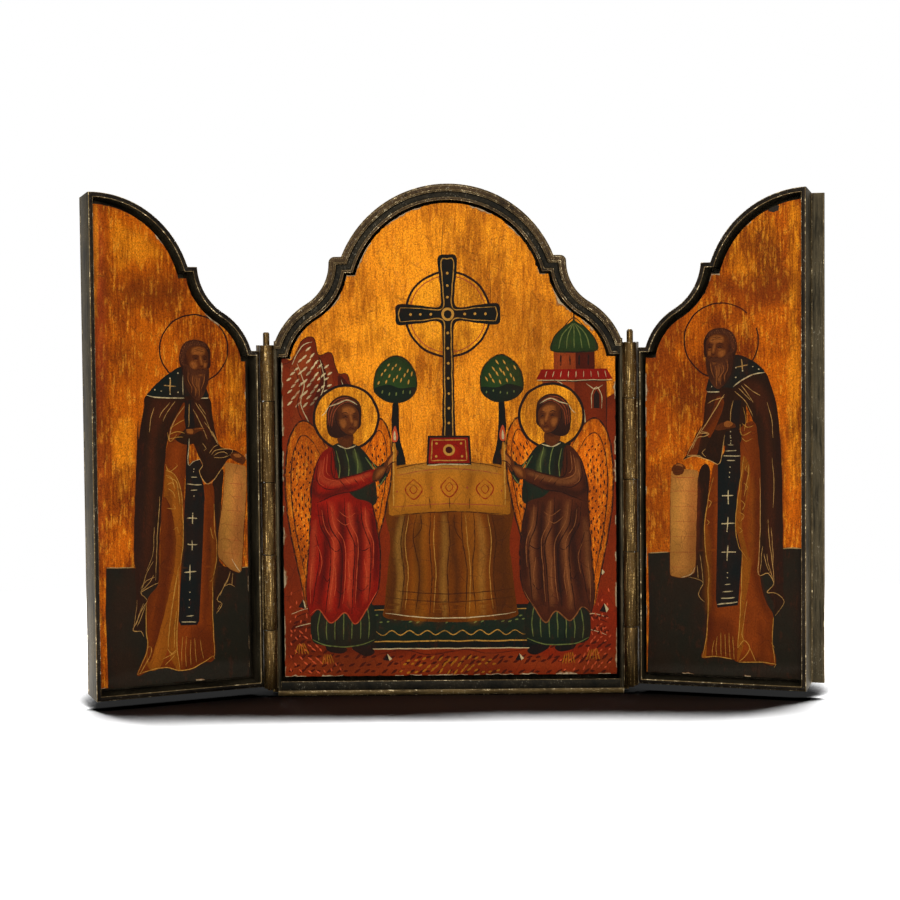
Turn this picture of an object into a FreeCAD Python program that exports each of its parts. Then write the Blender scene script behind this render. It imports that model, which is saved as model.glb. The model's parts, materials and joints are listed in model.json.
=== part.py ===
import FreeCAD, Part
import math
import os

import Sketcher

from FreeCAD import Placement, Rotation, Vector

# Folding travel icon, in millimetres: a centre case with an arched top and two wings,
# each a shallow sheet-metal tray that holds a painted wooden board, hung on wire-pinned
# barrel hinges. +Z is up and the viewer stands on the -Y side. The origin is the middle
# of the flat bottom on which the centre case stands. The wings stand part-closed.

# Size table: alias, value, what it is
SIZES = [
    ("leaf_height", 150.0, "centre case, bottom to the top of the arch"),
    ("case_half_width", 51.0, "centre line to the outer face of a side wall"),
    ("case_depth", 13.0, "front of the walls to the back of the centre case"),
    ("arch_radius", 33.4, "outer radius of the round arch"),
    ("step_drop", 21.0, "top of the arch down to the small step at its foot"),
    ("step_width", 1.9, "flat of the step"),
    ("shoulder_radius", 1.8, "rounded outer corner of the step"),
    ("bulge_radius", 22.0, "full curve above the ledge"),
    ("bulge_drop", 8.2, "centre of the full curve below the ledge"),
    ("ledge_drop", 45.4, "top of the arch down to the ledge above the hinges"),
    ("ledge_width", 0.4, "flat of the ledge"),
    ("sheet", 0.8, "metal sheet of the walls and back plates"),
    ("band_width", 2.2, "raised outer moulding of the centre case along the arch"),
    ("bottom_band", 1.6, "height of the raised outer moulding along the bottom"),
    ("band_proud", 1.2, "outer moulding in front of the hinge axis"),
    ("band_relief", 0.5, "inset and height of the upper step of a moulding"),
    ("channel_width", 4.7, "outer face to the inner edge of the channel floor"),
    ("bottom_channel", 4.2, "bottom face to the upper edge of the bottom channel floor"),
    ("channel_sheet", 0.6, "sheet of the channel floor"),
    ("bead_width", 0.9, "thin bead on the inner edge of the channel"),
    ("bead_height", 0.5, "bead in front of the channel floor"),
    ("nest_gap", 0.6, "closed wing to the moulding that surrounds it"),
    ("rim_setback", 0.3, "walls of all leaves behind the hinge axis"),
    ("wing_meeting", 0.9, "centre line to where the closed wings meet, on the right"),
    ("middle_gap", 0.2, "meeting line to the free edge of a closed wing"),
    ("wing_depth", 7.5, "front of the rim to the back of a wing"),
    ("wing_taper", 1.2, "lean of a wing's top and bottom walls from rim to back plate"),
    ("rim_width", 1.4, "flat rim on the front of a wing"),
    ("rim_sheet", 0.8, "thickness of the wing rim"),
    ("panel_recess", 1.6, "front of the walls to the painted face"),
    ("ground_thickness", 0.5, "gesso and paint on a board"),
    ("centre_panel_inset", 5.4, "arch and shoulders to the centre board"),
    ("centre_panel_foot", 5.3, "bottom face to the centre board"),
    ("wing_panel_inset", 3.2, "wing outline to its board"),
    ("wing_panel_free", 1.4, "free edge of a wing to its board"),
    ("panel_side_gap", 1.1, "inner face of a side wall to the board"),
    ("left_board_shift", 1.8, "extra gap between the left hinge wall and its board"),
    ("barrel_radius", 2.05, "hinge barrel"),
    ("barrel_gap", 0.15, "hinge barrel to the walls beside it"),
    ("strap_sheet", 0.8, "hinge strap that lies on a side wall"),
    ("strap_depth", 4.6, "hinge axis to the back edge of a strap"),
    ("pin_radius", 0.95, "hinge wire"),
    ("pin_tip", 0.5, "rounding or point of the wire's upper end"),
    ("pin_seat_gap", 0.01, "wire in the fixed knuckles"),
    ("pin_running_gap", 0.05, "wire in the turning knuckles"),
    ("pin_top", 3.8, "wire above the top knuckle"),
    ("pin_foot", 0.6, "wire below the bottom knuckle"),
    ("knuckle_gap", 0.25, "gap between knuckles"),
    ("hinge_foot", 2.4, "bottom of the lowest knuckle"),
    ("hinge_drop", 1.2, "ledge to the top of the highest knuckle"),
    ("strip_sheet", 1.2, "closing strip on the back of the right wing"),
    ("strip_seat", 4.0, "part of the strip that lies on the back plate"),
    ("strip_overhang", 3.6, "strip beyond the free edge of the right wing"),
    ("strip_joggle", 0.25, "overhanging part above the back of the left wing"),
    ("strip_end_gap", 0.3, "end of the strip to the end of the back plate"),
    ("left_fold_angle", 28.7, "left wing forward of flat, in degrees"),
    ("right_fold_angle", 21.3, "right wing forward of flat, in degrees"),
]

# Knuckle boundaries from the bottom of a hinge to its top, as shares of its length
KNUCKLE_SHARES = (0.0, 0.171, 0.391, 0.602, 0.838, 1.0)

doc = FreeCAD.newDocument("folding_travel_icon")
sheet = doc.addObject("Spreadsheet::Sheet", "Sizes")
for row, (alias, value, meaning) in enumerate(SIZES, start=1):
    sheet.set("A%d" % row, alias)
    sheet.set("B%d" % row, str(value))
    sheet.setAlias("B%d" % row, alias)
    sheet.set("C%d" % row, meaning)
doc.recompute()

pieces = []


class Size:
    """A length that knows its value and the expression that binds it."""

    def __init__(self, value, text):
        self.value = value
        self.text = text

    def __add__(self, other):
        return Size(self.value + other.value, "(%s + %s)" % (self.text, other.text))

    def __sub__(self, other):
        return Size(self.value - other.value, "(%s - %s)" % (self.text, other.text))

    def __neg__(self):
        return Size(-self.value, "(-%s)" % self.text)

    def __mul__(self, other):
        if isinstance(other, Size):
            return Size(self.value * other.value, "(%s * %s)" % (self.text, other.text))
        return Size(self.value * other, "(%s * %s)" % (self.text, other))

    def __truediv__(self, other):
        return Size(self.value / other.value, "(%s / %s)" % (self.text, other.text))


def size(alias):
    """The named size, bound to its cell."""
    return Size(float(sheet.get(alias)), "Sizes." + alias)


def leg(long_side, short_side):
    """The third side of a right triangle."""
    square = long_side * long_side - short_side * short_side
    return Size(math.sqrt(square.value), "sqrt(%s)" % square.text)


ZERO = Size(0.0, "0")
HALF_SHARE = 0.5

# Places across the depth, all leaves flat
front_y = -size("case_depth") * HALF_SHARE
back_y = size("case_depth") * HALF_SHARE
axis_y = front_y - size("rim_setback")
band_y = axis_y - size("band_proud")
wing_front_y = size("rim_setback")
wing_back_y = size("rim_setback") + size("wing_depth")
wing_paint_y = size("rim_setback") + size("panel_recess")

# Places across the width
inner_side = size("case_half_width") - size("sheet")
panel_side = inner_side - size("panel_side_gap")
hinge_standoff = size("barrel_radius") + size("barrel_gap")
axis_x = size("case_half_width") + hinge_standoff

# Outline of the leaves
arch_z = size("leaf_height") - size("arch_radius")
step_z = size("leaf_height") - size("step_drop")
ledge_z = size("leaf_height") - size("ledge_drop")
bulge_z = ledge_z - size("bulge_drop")
bulge_end = size("case_half_width") - size("ledge_width")
bulge_x = bulge_end - leg(size("bulge_radius"), size("bulge_drop"))
cove_z = step_z - size("shoulder_radius")
shoulder_x = leg(size("arch_radius"), step_z - arch_z) + size("step_width")
cove_start = shoulder_x + size("shoulder_radius")
side_run = cove_start - bulge_x
height_run = cove_z - bulge_z
bulge_square = size("bulge_radius") * size("bulge_radius")
run_squares = side_run * side_run + height_run * height_run - bulge_square
cove_radius = run_squares / ((size("bulge_radius") - side_run) * 2)
cove_x = cove_start + cove_radius

# Wing outline inside the centre outline
wing_inset = size("band_width") + size("nest_gap")
wing_back_inset = wing_inset + size("wing_taper")
free_edges = {1: size("middle_gap") - size("wing_meeting"),
              -1: size("middle_gap") + size("wing_meeting")}

# Hinge heights
hinge_top = ledge_z - size("hinge_drop")
hinge_length = hinge_top - size("hinge_foot")


class Edge:
    """A sketch edge with the vertex numbers of its first and last point."""

    def __init__(self, index, first, last):
        self.index = index
        self.first = first
        self.last = last


class Drawing:
    """A sketch whose points, centres and radii are bound to the size table."""

    def __init__(self, sketch):
        self.sketch = sketch

    def constrain(self, *parts):
        return self.sketch.addConstraint(Sketcher.Constraint(*parts))

    def bind(self, kind, places, length):
        index = self.constrain(kind, *places, abs(length.value))
        self.sketch.setExpression("Constraints[%d]" % index, length.text)

    def coordinate(self, kind, index, vertex, length):
        """Hold one coordinate of a vertex at its distance from the origin."""
        if length.text == ZERO.text:
            axis = -2 if kind == "DistanceX" else -1
            self.constrain("PointOnObject", index, vertex, axis)
        elif length.value < 0:
            self.bind(kind, (index, vertex, -1, 1), -length)
        else:
            self.bind(kind, (-1, 1, index, vertex), length)

    def place(self, index, vertex, across, up):
        self.coordinate("DistanceX", index, vertex, across)
        self.coordinate("DistanceY", index, vertex, up)

    def line(self, start, end):
        """A line between two points given as numbers."""
        geometry = Part.LineSegment(Vector(*start, 0), Vector(*end, 0))
        return Edge(self.sketch.addGeometry(geometry), 1, 2)

    def arc(self, centre, radius, start, end, counterclockwise):
        """An arc of bound radius about a centre given as numbers."""
        first = math.atan2(start[1] - centre[1], start[0] - centre[0])
        last = math.atan2(end[1] - centre[1], end[0] - centre[0])
        circle = Part.Circle(Vector(*centre, 0), Vector(0, 0, 1), radius.value)
        if counterclockwise:
            curve = Part.ArcOfCircle(circle, first, last)
            edge = Edge(self.sketch.addGeometry(curve), 1, 2)
        else:
            curve = Part.ArcOfCircle(circle, last, first)
            edge = Edge(self.sketch.addGeometry(curve), 2, 1)
        self.bind("Radius", (edge.index,), radius)
        return edge

    def join(self, before, after):
        self.constrain("Coincident", before.index, before.last, after.index, after.first)

    def polygon(self, corners):
        """A closed outline through corners given as pairs of sizes."""
        values = [(across.value, up.value) for across, up in corners]
        edges = [self.line(a, b) for a, b in zip(values, values[1:] + values[:1])]
        for before, after in zip(edges, edges[1:] + edges[:1]):
            self.join(before, after)
        for edge, (across, up) in zip(edges, corners):
            self.place(edge.index, edge.first, across, up)

    def rectangle(self, left, bottom, right, top):
        self.polygon([(left, bottom), (right, bottom), (right, top), (left, top)])

    def circle(self, radius):
        """A circle about the origin."""
        circle = Part.Circle(Vector(0, 0, 0), Vector(0, 0, 1), radius.value)
        index = self.sketch.addGeometry(circle)
        self.constrain("Coincident", index, 3, -1, 1)
        self.bind("Radius", (index,), radius)


class Profile:
    """The leaf outline at one inset: its centres stay and its radii shrink or grow.

    A half runs from the side over the ledge, the full curve, the hollow curve and the
    step to the arch. It is written for the +X half of the centre case and laid out from
    an origin with direction 1 or -1.
    """

    # Least radius of a rounded step corner, as a share of its full radius
    LEAST_SHARE = 0.1

    def __init__(self, inset, side, foot=None, sharp=False):
        self.side = side
        self.foot = foot if foot else inset
        self.arch = size("arch_radius") - inset
        self.bulge = size("bulge_radius") - inset
        self.cove = cove_radius + inset
        self.shoulder = size("shoulder_radius") - inset
        self.step = step_z - inset
        self.ledge = ledge_z - inset
        least = size("shoulder_radius").value * self.LEAST_SHARE
        self.rounded = self.shoulder.value > least and not sharp

    def arch_foot(self):
        """Half width of the arch at the step, as a number."""
        return math.sqrt(self.arch.value ** 2 - (self.step.value - arch_z.value) ** 2)

    def half_points(self):
        """Ends of the half's edges from the ledge to the arch, as numbers."""
        rise = self.ledge.value - bulge_z.value
        ledge_end = bulge_x.value + math.sqrt(self.bulge.value ** 2 - rise ** 2)
        share = self.bulge.value / (self.bulge.value + self.cove.value)
        meet = (bulge_x.value + (cove_x.value - bulge_x.value) * share,
                bulge_z.value + (cove_z.value - bulge_z.value) * share)
        if self.rounded:
            cove_top = (cove_x.value - self.cove.value, cove_z.value)
            step_end = shoulder_x.value
        else:
            drop = self.step.value - cove_z.value
            step_end = cove_x.value - math.sqrt(self.cove.value ** 2 - drop ** 2)
            cove_top = (step_end, self.step.value)
        return ledge_end, meet, cove_top, step_end

    def half(self, drawing, origin, direction):
        """Draw one half from its side to the arch and return its edges in order."""

        def across(length):
            return origin + length if direction > 0 else origin - length

        def point(x, z):
            return (origin.value + direction * x, z)

        outward = direction > 0
        ledge_end, meet, cove_top, step_end = self.half_points()
        ledge = drawing.line(point(self.side.value, self.ledge.value),
                             point(ledge_end, self.ledge.value))
        bulge = drawing.arc(point(bulge_x.value, bulge_z.value), self.bulge,
                            point(ledge_end, self.ledge.value), point(*meet), outward)
        cove = drawing.arc(point(cove_x.value, cove_z.value), self.cove,
                           point(*meet), point(*cove_top), not outward)
        edges = [ledge, bulge, cove]
        drawing.constrain("Horizontal", ledge.index)
        drawing.place(ledge.index, ledge.first, across(self.side), self.ledge)
        drawing.join(ledge, bulge)
        drawing.coordinate("DistanceX", bulge.index, 3, across(bulge_x))
        drawing.constrain("Tangent", bulge.index, bulge.last, cove.index, cove.first)
        drawing.place(cove.index, 3, across(cove_x), cove_z)
        if self.rounded:
            shoulder = drawing.arc(point(shoulder_x.value, cove_z.value), self.shoulder,
                                   point(*cove_top), point(step_end, self.step.value),
                                   outward)
            edges.append(shoulder)
            drawing.join(cove, shoulder)
            drawing.coordinate("DistanceY", cove.index, cove.last, cove_z)
            drawing.coordinate("DistanceY", shoulder.index, 3, cove_z)
        step = drawing.line(point(step_end, self.step.value),
                            point(self.arch_foot(), self.step.value))
        drawing.join(edges[-1], step)
        edges.append(step)
        drawing.constrain("Horizontal", step.index)
        if self.rounded:
            drawing.coordinate("DistanceX", step.index, step.first, across(shoulder_x))
        else:
            drawing.coordinate("DistanceY", step.index, step.first, self.step)
        return edges

    def crown(self, drawing):
        """Draw the whole top of the centre case; return its right and left ledge."""
        right = self.half(drawing, ZERO, 1)
        left = self.half(drawing, ZERO, -1)
        foot = self.arch_foot()
        arch = drawing.arc((ZERO.value, arch_z.value), self.arch, (foot, self.step.value),
                           (-foot, self.step.value), True)
        drawing.join(right[-1], arch)
        drawing.constrain("Coincident", arch.index, arch.last, left[-1].index, left[-1].last)
        drawing.place(arch.index, 3, ZERO, arch_z)
        return right[0], left[0]

    def centre(self, drawing):
        """Draw the whole outline of the centre case."""
        right, left = self.crown(drawing)
        side = self.side.value
        fall = drawing.line((-side, self.ledge.value), (-side, self.foot.value))
        bottom = drawing.line((-side, self.foot.value), (side, self.foot.value))
        rise = drawing.line((side, self.foot.value), (side, self.ledge.value))
        drawing.constrain("Coincident", left.index, left.first, fall.index, fall.first)
        for before, after in ((fall, bottom), (bottom, rise), (rise, right)):
            drawing.join(before, after)
        drawing.constrain("Vertical", fall.index)
        drawing.constrain("Vertical", rise.index)
        drawing.constrain("Horizontal", bottom.index)
        drawing.coordinate("DistanceY", bottom.index, bottom.first, self.foot)

    def wing(self, drawing, free, direction):
        """Draw a whole wing from its hinge axis; direction 1 is the left wing."""
        origin = -axis_x if direction > 0 else axis_x
        edges = self.half(drawing, origin, direction)
        near = origin.value + direction * free.value
        side = origin.value + direction * self.side.value
        spring = origin.value + direction * self.arch_foot()
        top = arch_z.value + math.sqrt(self.arch.value ** 2 - free.value ** 2)
        arch = drawing.arc((origin.value, arch_z.value), self.arch,
                           (spring, self.step.value), (near, top), direction > 0)
        fall = drawing.line((near, top), (near, self.foot.value))
        bottom = drawing.line((near, self.foot.value), (side, self.foot.value))
        rise = drawing.line((side, self.foot.value), (side, self.ledge.value))
        loop = [edges[-1], arch, fall, bottom, rise, edges[0]]
        for before, after in zip(loop, loop[1:]):
            drawing.join(before, after)
        drawing.place(arch.index, 3, origin, arch_z)
        drawing.constrain("Vertical", fall.index)
        drawing.constrain("Vertical", rise.index)
        drawing.constrain("Horizontal", bottom.index)
        across = origin + free if direction > 0 else origin - free
        drawing.place(fall.index, fall.last, across, self.foot)


def between_crowns(drawing, outer, inner):
    """Draw the strip between two crowns that end on the same side lines."""
    ends = zip(outer.crown(drawing), inner.crown(drawing))
    for sign, (upper, lower) in zip((1, -1), ends):
        end = drawing.line((sign * outer.side.value, outer.ledge.value),
                           (sign * inner.side.value, inner.ledge.value))
        drawing.constrain("Coincident", upper.index, upper.first, end.index, end.first)
        drawing.constrain("Coincident", lower.index, lower.first, end.index, end.last)


def new_body(label):
    """An empty body that is written out under its label."""
    body = doc.addObject("PartDesign::Body", label)
    body.Label = label
    pieces.append(body)
    return body


def body_sketch(body, plane, level):
    """A sketch on the body's own origin plane, moved along its normal to a level."""
    sketch = body.newObject("Sketcher::SketchObject", body.Label + "_sketch")
    origin_plane = [f for f in body.Origin.OriginFeatures if f.Role == plane][0]
    sketch.AttachmentSupport = [(origin_plane, "")]
    sketch.MapMode = "FlatFace"
    sketch.setExpression("AttachmentOffset.Base.z", level.text)
    return Drawing(sketch)


def pad(body, drawing, length):
    """Pad a sketch along its normal."""
    feature = body.newObject("PartDesign::Pad", body.Label + "_pad")
    feature.Profile = drawing.sketch
    feature.setExpression("Length", length.text)
    return feature


def add_plate(body, draw, near_y, far_y):
    """Add an upright plate between two depths to a body."""
    drawing = body_sketch(body, "XZ_Plane", -far_y)
    draw(drawing)
    return pad(body, drawing, far_y - near_y)


def add_bar(body, draw, low_z, high_z):
    """Add a bar of constant section between two heights to a body."""
    drawing = body_sketch(body, "XY_Plane", low_z)
    draw(drawing)
    return pad(body, drawing, high_z - low_z)


def plate(label, draw, near_y, far_y):
    """A piece that is one upright plate."""
    body = new_body(label)
    add_plate(body, draw, near_y, far_y)
    return body


def hang(piece, direction):
    """Stand a piece of the left wing (1) or right wing (-1) on its hinge axis."""
    turn = size("left_fold_angle") if direction > 0 else -size("right_fold_angle")
    base = Vector(-direction * axis_x.value, axis_y.value, 0)
    piece.Placement = Placement(base, Rotation(Vector(0, 0, 1), turn.value))
    piece.setExpression("Placement.Base.x", (-axis_x if direction > 0 else axis_x).text)
    piece.setExpression("Placement.Base.y", axis_y.text)
    piece.setExpression("Placement.Rotation.Angle", turn.text)


# Centre case
def build_centre_case():
    """Back plate, walls, mouldings and channel floors of the centre case."""
    half = size("case_half_width")
    outline = Profile(ZERO, half, foot=ZERO)
    lining = Profile(size("sheet"), half)
    wall_back = back_y - size("sheet")
    plate("centre_back_plate", outline.centre, wall_back, back_y)
    plate("centre_arch_wall", lambda d: between_crowns(d, outline, lining), front_y, wall_back)
    wall_top = ledge_z - size("sheet")
    plate("centre_left_wall",
          lambda d: d.rectangle(-half, size("sheet"), -inner_side, wall_top),
          front_y, wall_back)
    plate("centre_right_wall",
          lambda d: d.rectangle(inner_side, size("sheet"), half, wall_top),
          front_y, wall_back)
    plate("centre_bottom_wall",
          lambda d: d.rectangle(-half, ZERO, half, size("sheet")), front_y, wall_back)

    step_y = band_y + size("band_relief")
    step = size("band_relief")
    moulding = plate("centre_arch_moulding",
                     lambda d: between_crowns(d, outline, Profile(size("band_width"), half)),
                     step_y, front_y)
    add_plate(moulding,
              lambda d: between_crowns(d, Profile(step, half - step),
                                       Profile(size("band_width") - step, half - step)),
              band_y, step_y)
    bottom = plate("centre_bottom_moulding",
                   lambda d: d.rectangle(-half, ZERO, half, size("bottom_band")),
                   step_y, front_y)
    ridge = step * HALF_SHARE
    add_plate(bottom,
              lambda d: d.rectangle(ridge - half, ridge, half - ridge,
                                    size("bottom_band") - ridge),
              band_y, step_y)

    floor_back = front_y + size("channel_sheet")
    plate("centre_arch_channel",
          lambda d: between_crowns(d, Profile(size("sheet"), inner_side),
                                   Profile(size("channel_width"), inner_side)),
          front_y, floor_back)
    plate("centre_bottom_channel",
          lambda d: d.rectangle(-inner_side, size("sheet"), inner_side,
                                size("bottom_channel")),
          front_y, floor_back)
    bead_side = inner_side - size("nest_gap")
    bead_inset = size("channel_width") - size("bead_width")
    plate("centre_arch_bead",
          lambda d: between_crowns(d, Profile(bead_inset, bead_side),
                                   Profile(size("channel_width"), bead_side)),
          front_y - size("bead_height"), front_y)


def build_centre_icon():
    """Board and painted ground inside the centre case."""
    outline = Profile(size("centre_panel_inset"), panel_side, foot=size("centre_panel_foot"))
    paint_y = front_y + size("panel_recess")
    board_y = paint_y + size("ground_thickness")
    plate("centre_painted_ground", outline.centre, paint_y, board_y)
    plate("centre_icon_board", outline.centre, board_y, back_y - size("sheet"))


# Wings
def slab(label, profile, free, direction, near_y, far_y):
    """A wing piece that fills one wing outline between two depths."""
    body = plate(label, lambda d: profile.wing(d, free, direction), near_y, far_y)
    hang(body, direction)


def standing_sketch(name, depth):
    """A sketch in the upright plane at a depth behind the hinge axis."""
    sketch = doc.addObject("Sketcher::SketchObject", name)
    sketch.Placement = Placement(Vector(0, depth.value, 0), Rotation(Vector(1, 0, 0), 90))
    sketch.setExpression("Placement.Base.y", depth.text)
    return Drawing(sketch)


def tapered_solid(name, inset, side, free, direction, near_y, far_y):
    """A solid wing block whose outline shrinks by the taper from front to back."""
    front = standing_sketch(name + "_front", near_y)
    Profile(inset, side, sharp=True).wing(front, free, direction)
    back = standing_sketch(name + "_back", far_y)
    taper = size("wing_taper")
    Profile(inset + taper, side, sharp=True).wing(back, free, direction)
    loft = doc.addObject("Part::Loft", name)
    loft.Sections = [front.sketch, back.sketch]
    loft.Solid = True
    loft.Ruled = True
    return loft


def region(name, low, high):
    """A box between two corners given as triples of sizes."""
    box = doc.addObject("Part::Box", name)
    for place, start in zip(("x", "y", "z"), low):
        box.setExpression("Placement.Base." + place, start.text)
    for edge, start, end in zip(("Length", "Width", "Height"), low, high):
        box.setExpression(edge, (end - start).text)
    return box


def build_wing_walls(side_name, direction):
    """Walls of one wing, top and bottom leaning: a ring cut at its four corners."""
    near_y = wing_front_y + size("rim_sheet")
    far_y = wing_back_y - size("sheet")
    half = size("case_half_width")
    free = free_edges[direction]
    outer = tapered_solid(side_name + "_block", wing_inset, half, free, direction,
                          near_y, far_y)
    inner = tapered_solid(side_name + "_hollow", wing_inset + size("sheet"), inner_side,
                          free + size("sheet"), direction, near_y, far_y)
    ring = doc.addObject("Part::Cut", side_name + "_ring")
    ring.Base = outer
    ring.Tool = inner
    hinge_cut = hinge_standoff + size("sheet")
    free_face = axis_x - free
    free_cut = free_face - size("sheet")
    middle_z = size("leaf_height") * HALF_SHARE
    spans = {
        "hinge_wall": (ZERO, hinge_cut, ZERO, size("leaf_height")),
        "free_wall": (free_cut, free_face, ZERO, size("leaf_height")),
        "top_wall": (hinge_cut, free_cut, middle_z, size("leaf_height")),
        "bottom_wall": (hinge_cut, free_cut, ZERO, middle_z),
    }
    for wall, (start, end, low_z, high_z) in spans.items():
        if direction > 0:
            start, end = -end, -start
        box = region("%s_%s_box" % (side_name, wall), (start, near_y, low_z),
                     (end, far_y, high_z))
        piece = doc.addObject("Part::Common", "%s_wing_%s" % (side_name, wall))
        piece.Base = ring
        piece.Tool = box
        piece.Label = piece.Name
        pieces.append(piece)
        hang(piece, direction)


def build_wing(side_name, direction):
    """One wing: back plate, walls, rim, board and painted ground."""
    half = size("case_half_width")
    free = free_edges[direction]
    plate_y = wing_back_y - size("sheet")
    slab(side_name + "_wing_back_plate", Profile(wing_back_inset, half, sharp=True),
         free, direction, plate_y, wing_back_y)
    build_wing_walls(side_name, direction)
    opening = Profile(wing_inset + size("rim_width"), inner_side, sharp=True)

    def draw_rim(drawing):
        Profile(wing_inset, half, sharp=True).wing(drawing, free, direction)
        opening.wing(drawing, free + size("rim_width"), direction)

    rim = plate(side_name + "_wing_rim", draw_rim, wing_front_y,
                wing_front_y + size("rim_sheet"))
    hang(rim, direction)
    board_side = panel_side - size("left_board_shift") if direction > 0 else panel_side
    panel = Profile(wing_inset + size("wing_panel_inset"), board_side, sharp=True)
    panel_free = free + size("wing_panel_free")
    board_y = wing_paint_y + size("ground_thickness")
    slab(side_name + "_wing_painted_ground", panel, panel_free, direction,
         wing_paint_y, board_y)
    slab(side_name + "_wing_icon_board", panel, panel_free, direction, board_y, plate_y)


def build_closing_strip():
    """Bent strip on the back of the right wing that covers the joint when closed."""
    seat_end = axis_x - free_edges[-1]
    seat_start = seat_end - size("strip_seat")
    end = seat_end + size("strip_overhang")
    raised = wing_back_y + size("strip_joggle")
    outside = wing_back_y + size("strip_sheet")
    corners = [(seat_start, wing_back_y), (seat_end, wing_back_y), (seat_end, raised),
               (end, raised), (end, outside), (seat_start, outside)]
    low_z = wing_back_inset + size("strip_end_gap")
    high_z = size("leaf_height") - wing_back_inset - size("strip_end_gap")
    body = new_body("right_wing_closing_strip")
    add_bar(body, lambda d: d.polygon(corners), low_z, high_z)
    hang(body, -1)


# Hinges
def build_knuckle(side_name, number, direction, low_z, high_z):
    """One knuckle with its strap; odd ones stay on the centre case."""
    fixed = number % 2 == 1
    gap = size("pin_seat_gap") if fixed else size("pin_running_gap")
    body = new_body("%s_hinge_knuckle_%d" % (side_name, number))

    def draw_barrel(drawing):
        drawing.circle(size("barrel_radius"))
        drawing.circle(size("pin_radius") + gap)

    toward = direction if fixed else -direction
    inner = hinge_standoff - size("strap_sheet")
    span = (inner, hinge_standoff) if toward > 0 else (-hinge_standoff, -inner)
    add_bar(body, draw_barrel, low_z, high_z)
    add_bar(body, lambda d: d.rectangle(span[0], ZERO, span[1], size("strap_depth")),
            low_z, high_z)
    if fixed:
        body.Placement = Placement(Vector(-direction * axis_x.value, axis_y.value, 0),
                                   Rotation())
        body.setExpression("Placement.Base.x",
                           (-axis_x if direction > 0 else axis_x).text)
        body.setExpression("Placement.Base.y", axis_y.text)
    else:
        hang(body, direction)


def build_pin(side_name, direction, finish):
    """Hinge wire with a rounded or pointed upper end."""
    body = new_body(side_name + "_hinge_pin")
    low_z = size("hinge_foot") - size("pin_foot")
    high_z = hinge_top + size("pin_top")
    wire = add_bar(body, lambda d: d.circle(size("pin_radius")), low_z, high_z)
    doc.recompute()
    rims = [(edge.BoundBox.ZMin, number) for number, edge in enumerate(wire.Shape.Edges, 1)
            if abs(edge.BoundBox.ZLength) < wire.Shape.BoundBox.ZLength * HALF_SHARE]
    top_edge = "Edge%d" % max(rims)[1]
    tip = body.newObject("PartDesign::" + finish, body.Label + "_tip")
    tip.Base = (wire, [top_edge])
    tip.setExpression("Radius" if finish == "Fillet" else "Size", size("pin_tip").text)
    body.Placement = Placement(Vector(-direction * axis_x.value, axis_y.value, 0), Rotation())
    body.setExpression("Placement.Base.x", (-axis_x if direction > 0 else axis_x).text)
    body.setExpression("Placement.Base.y", axis_y.text)


def build_hinge(side_name, direction, finish):
    """Five knuckles, numbered from the top, and their wire."""
    half_gap = size("knuckle_gap") * HALF_SHARE
    levels = [size("hinge_foot") + hinge_length * share for share in KNUCKLE_SHARES]
    count = len(levels) - 1
    for place in range(count):
        low = levels[place] if place == 0 else levels[place] + half_gap
        high = levels[place + 1]
        if place < count - 1:
            high = high - half_gap
        build_knuckle(side_name, count - place, direction, low, high)
    build_pin(side_name, direction, finish)


build_centre_case()
build_centre_icon()
for wing_name, wing_direction, pin_finish in (("left", 1, "Fillet"), ("right", -1, "Chamfer")):
    build_wing(wing_name, wing_direction)
    build_hinge(wing_name, wing_direction, pin_finish)
build_closing_strip()
doc.recompute()

# Check the document and write the pieces
for item in doc.Objects:
    if "Invalid" in item.State or "Error" in item.State:
        raise RuntimeError("%s did not recompute: %s" % (item.Label, item.State))
os.makedirs("parts", exist_ok=True)
for piece in pieces:
    shape = piece.Shape
    if shape.isNull() or not shape.isValid() or shape.Volume <= 0:
        raise RuntimeError("%s has no valid solid" % piece.Label)
    shape.exportStep("parts/%s.step" % piece.Label)
    box = shape.BoundBox
    print("%-28s %9.2f mm3  x %7.2f %7.2f  y %7.2f %7.2f  z %7.2f %7.2f" % (
        piece.Label, shape.Volume, box.XMin, box.XMax, box.YMin, box.YMax, box.ZMin, box.ZMax))
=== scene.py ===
"""Looks of a folding travel icon: three metal cases with painted boards, on hinges.

Lengths are in metres unless a name or a docstring says millimetres.
"""

import json
import logging
import math
from dataclasses import dataclass, field, replace
from enum import Enum

import bmesh
import bpy
import numpy as np
from mathutils import Matrix, Vector, noise
from mathutils.geometry import delaunay_2d_cdt

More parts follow.
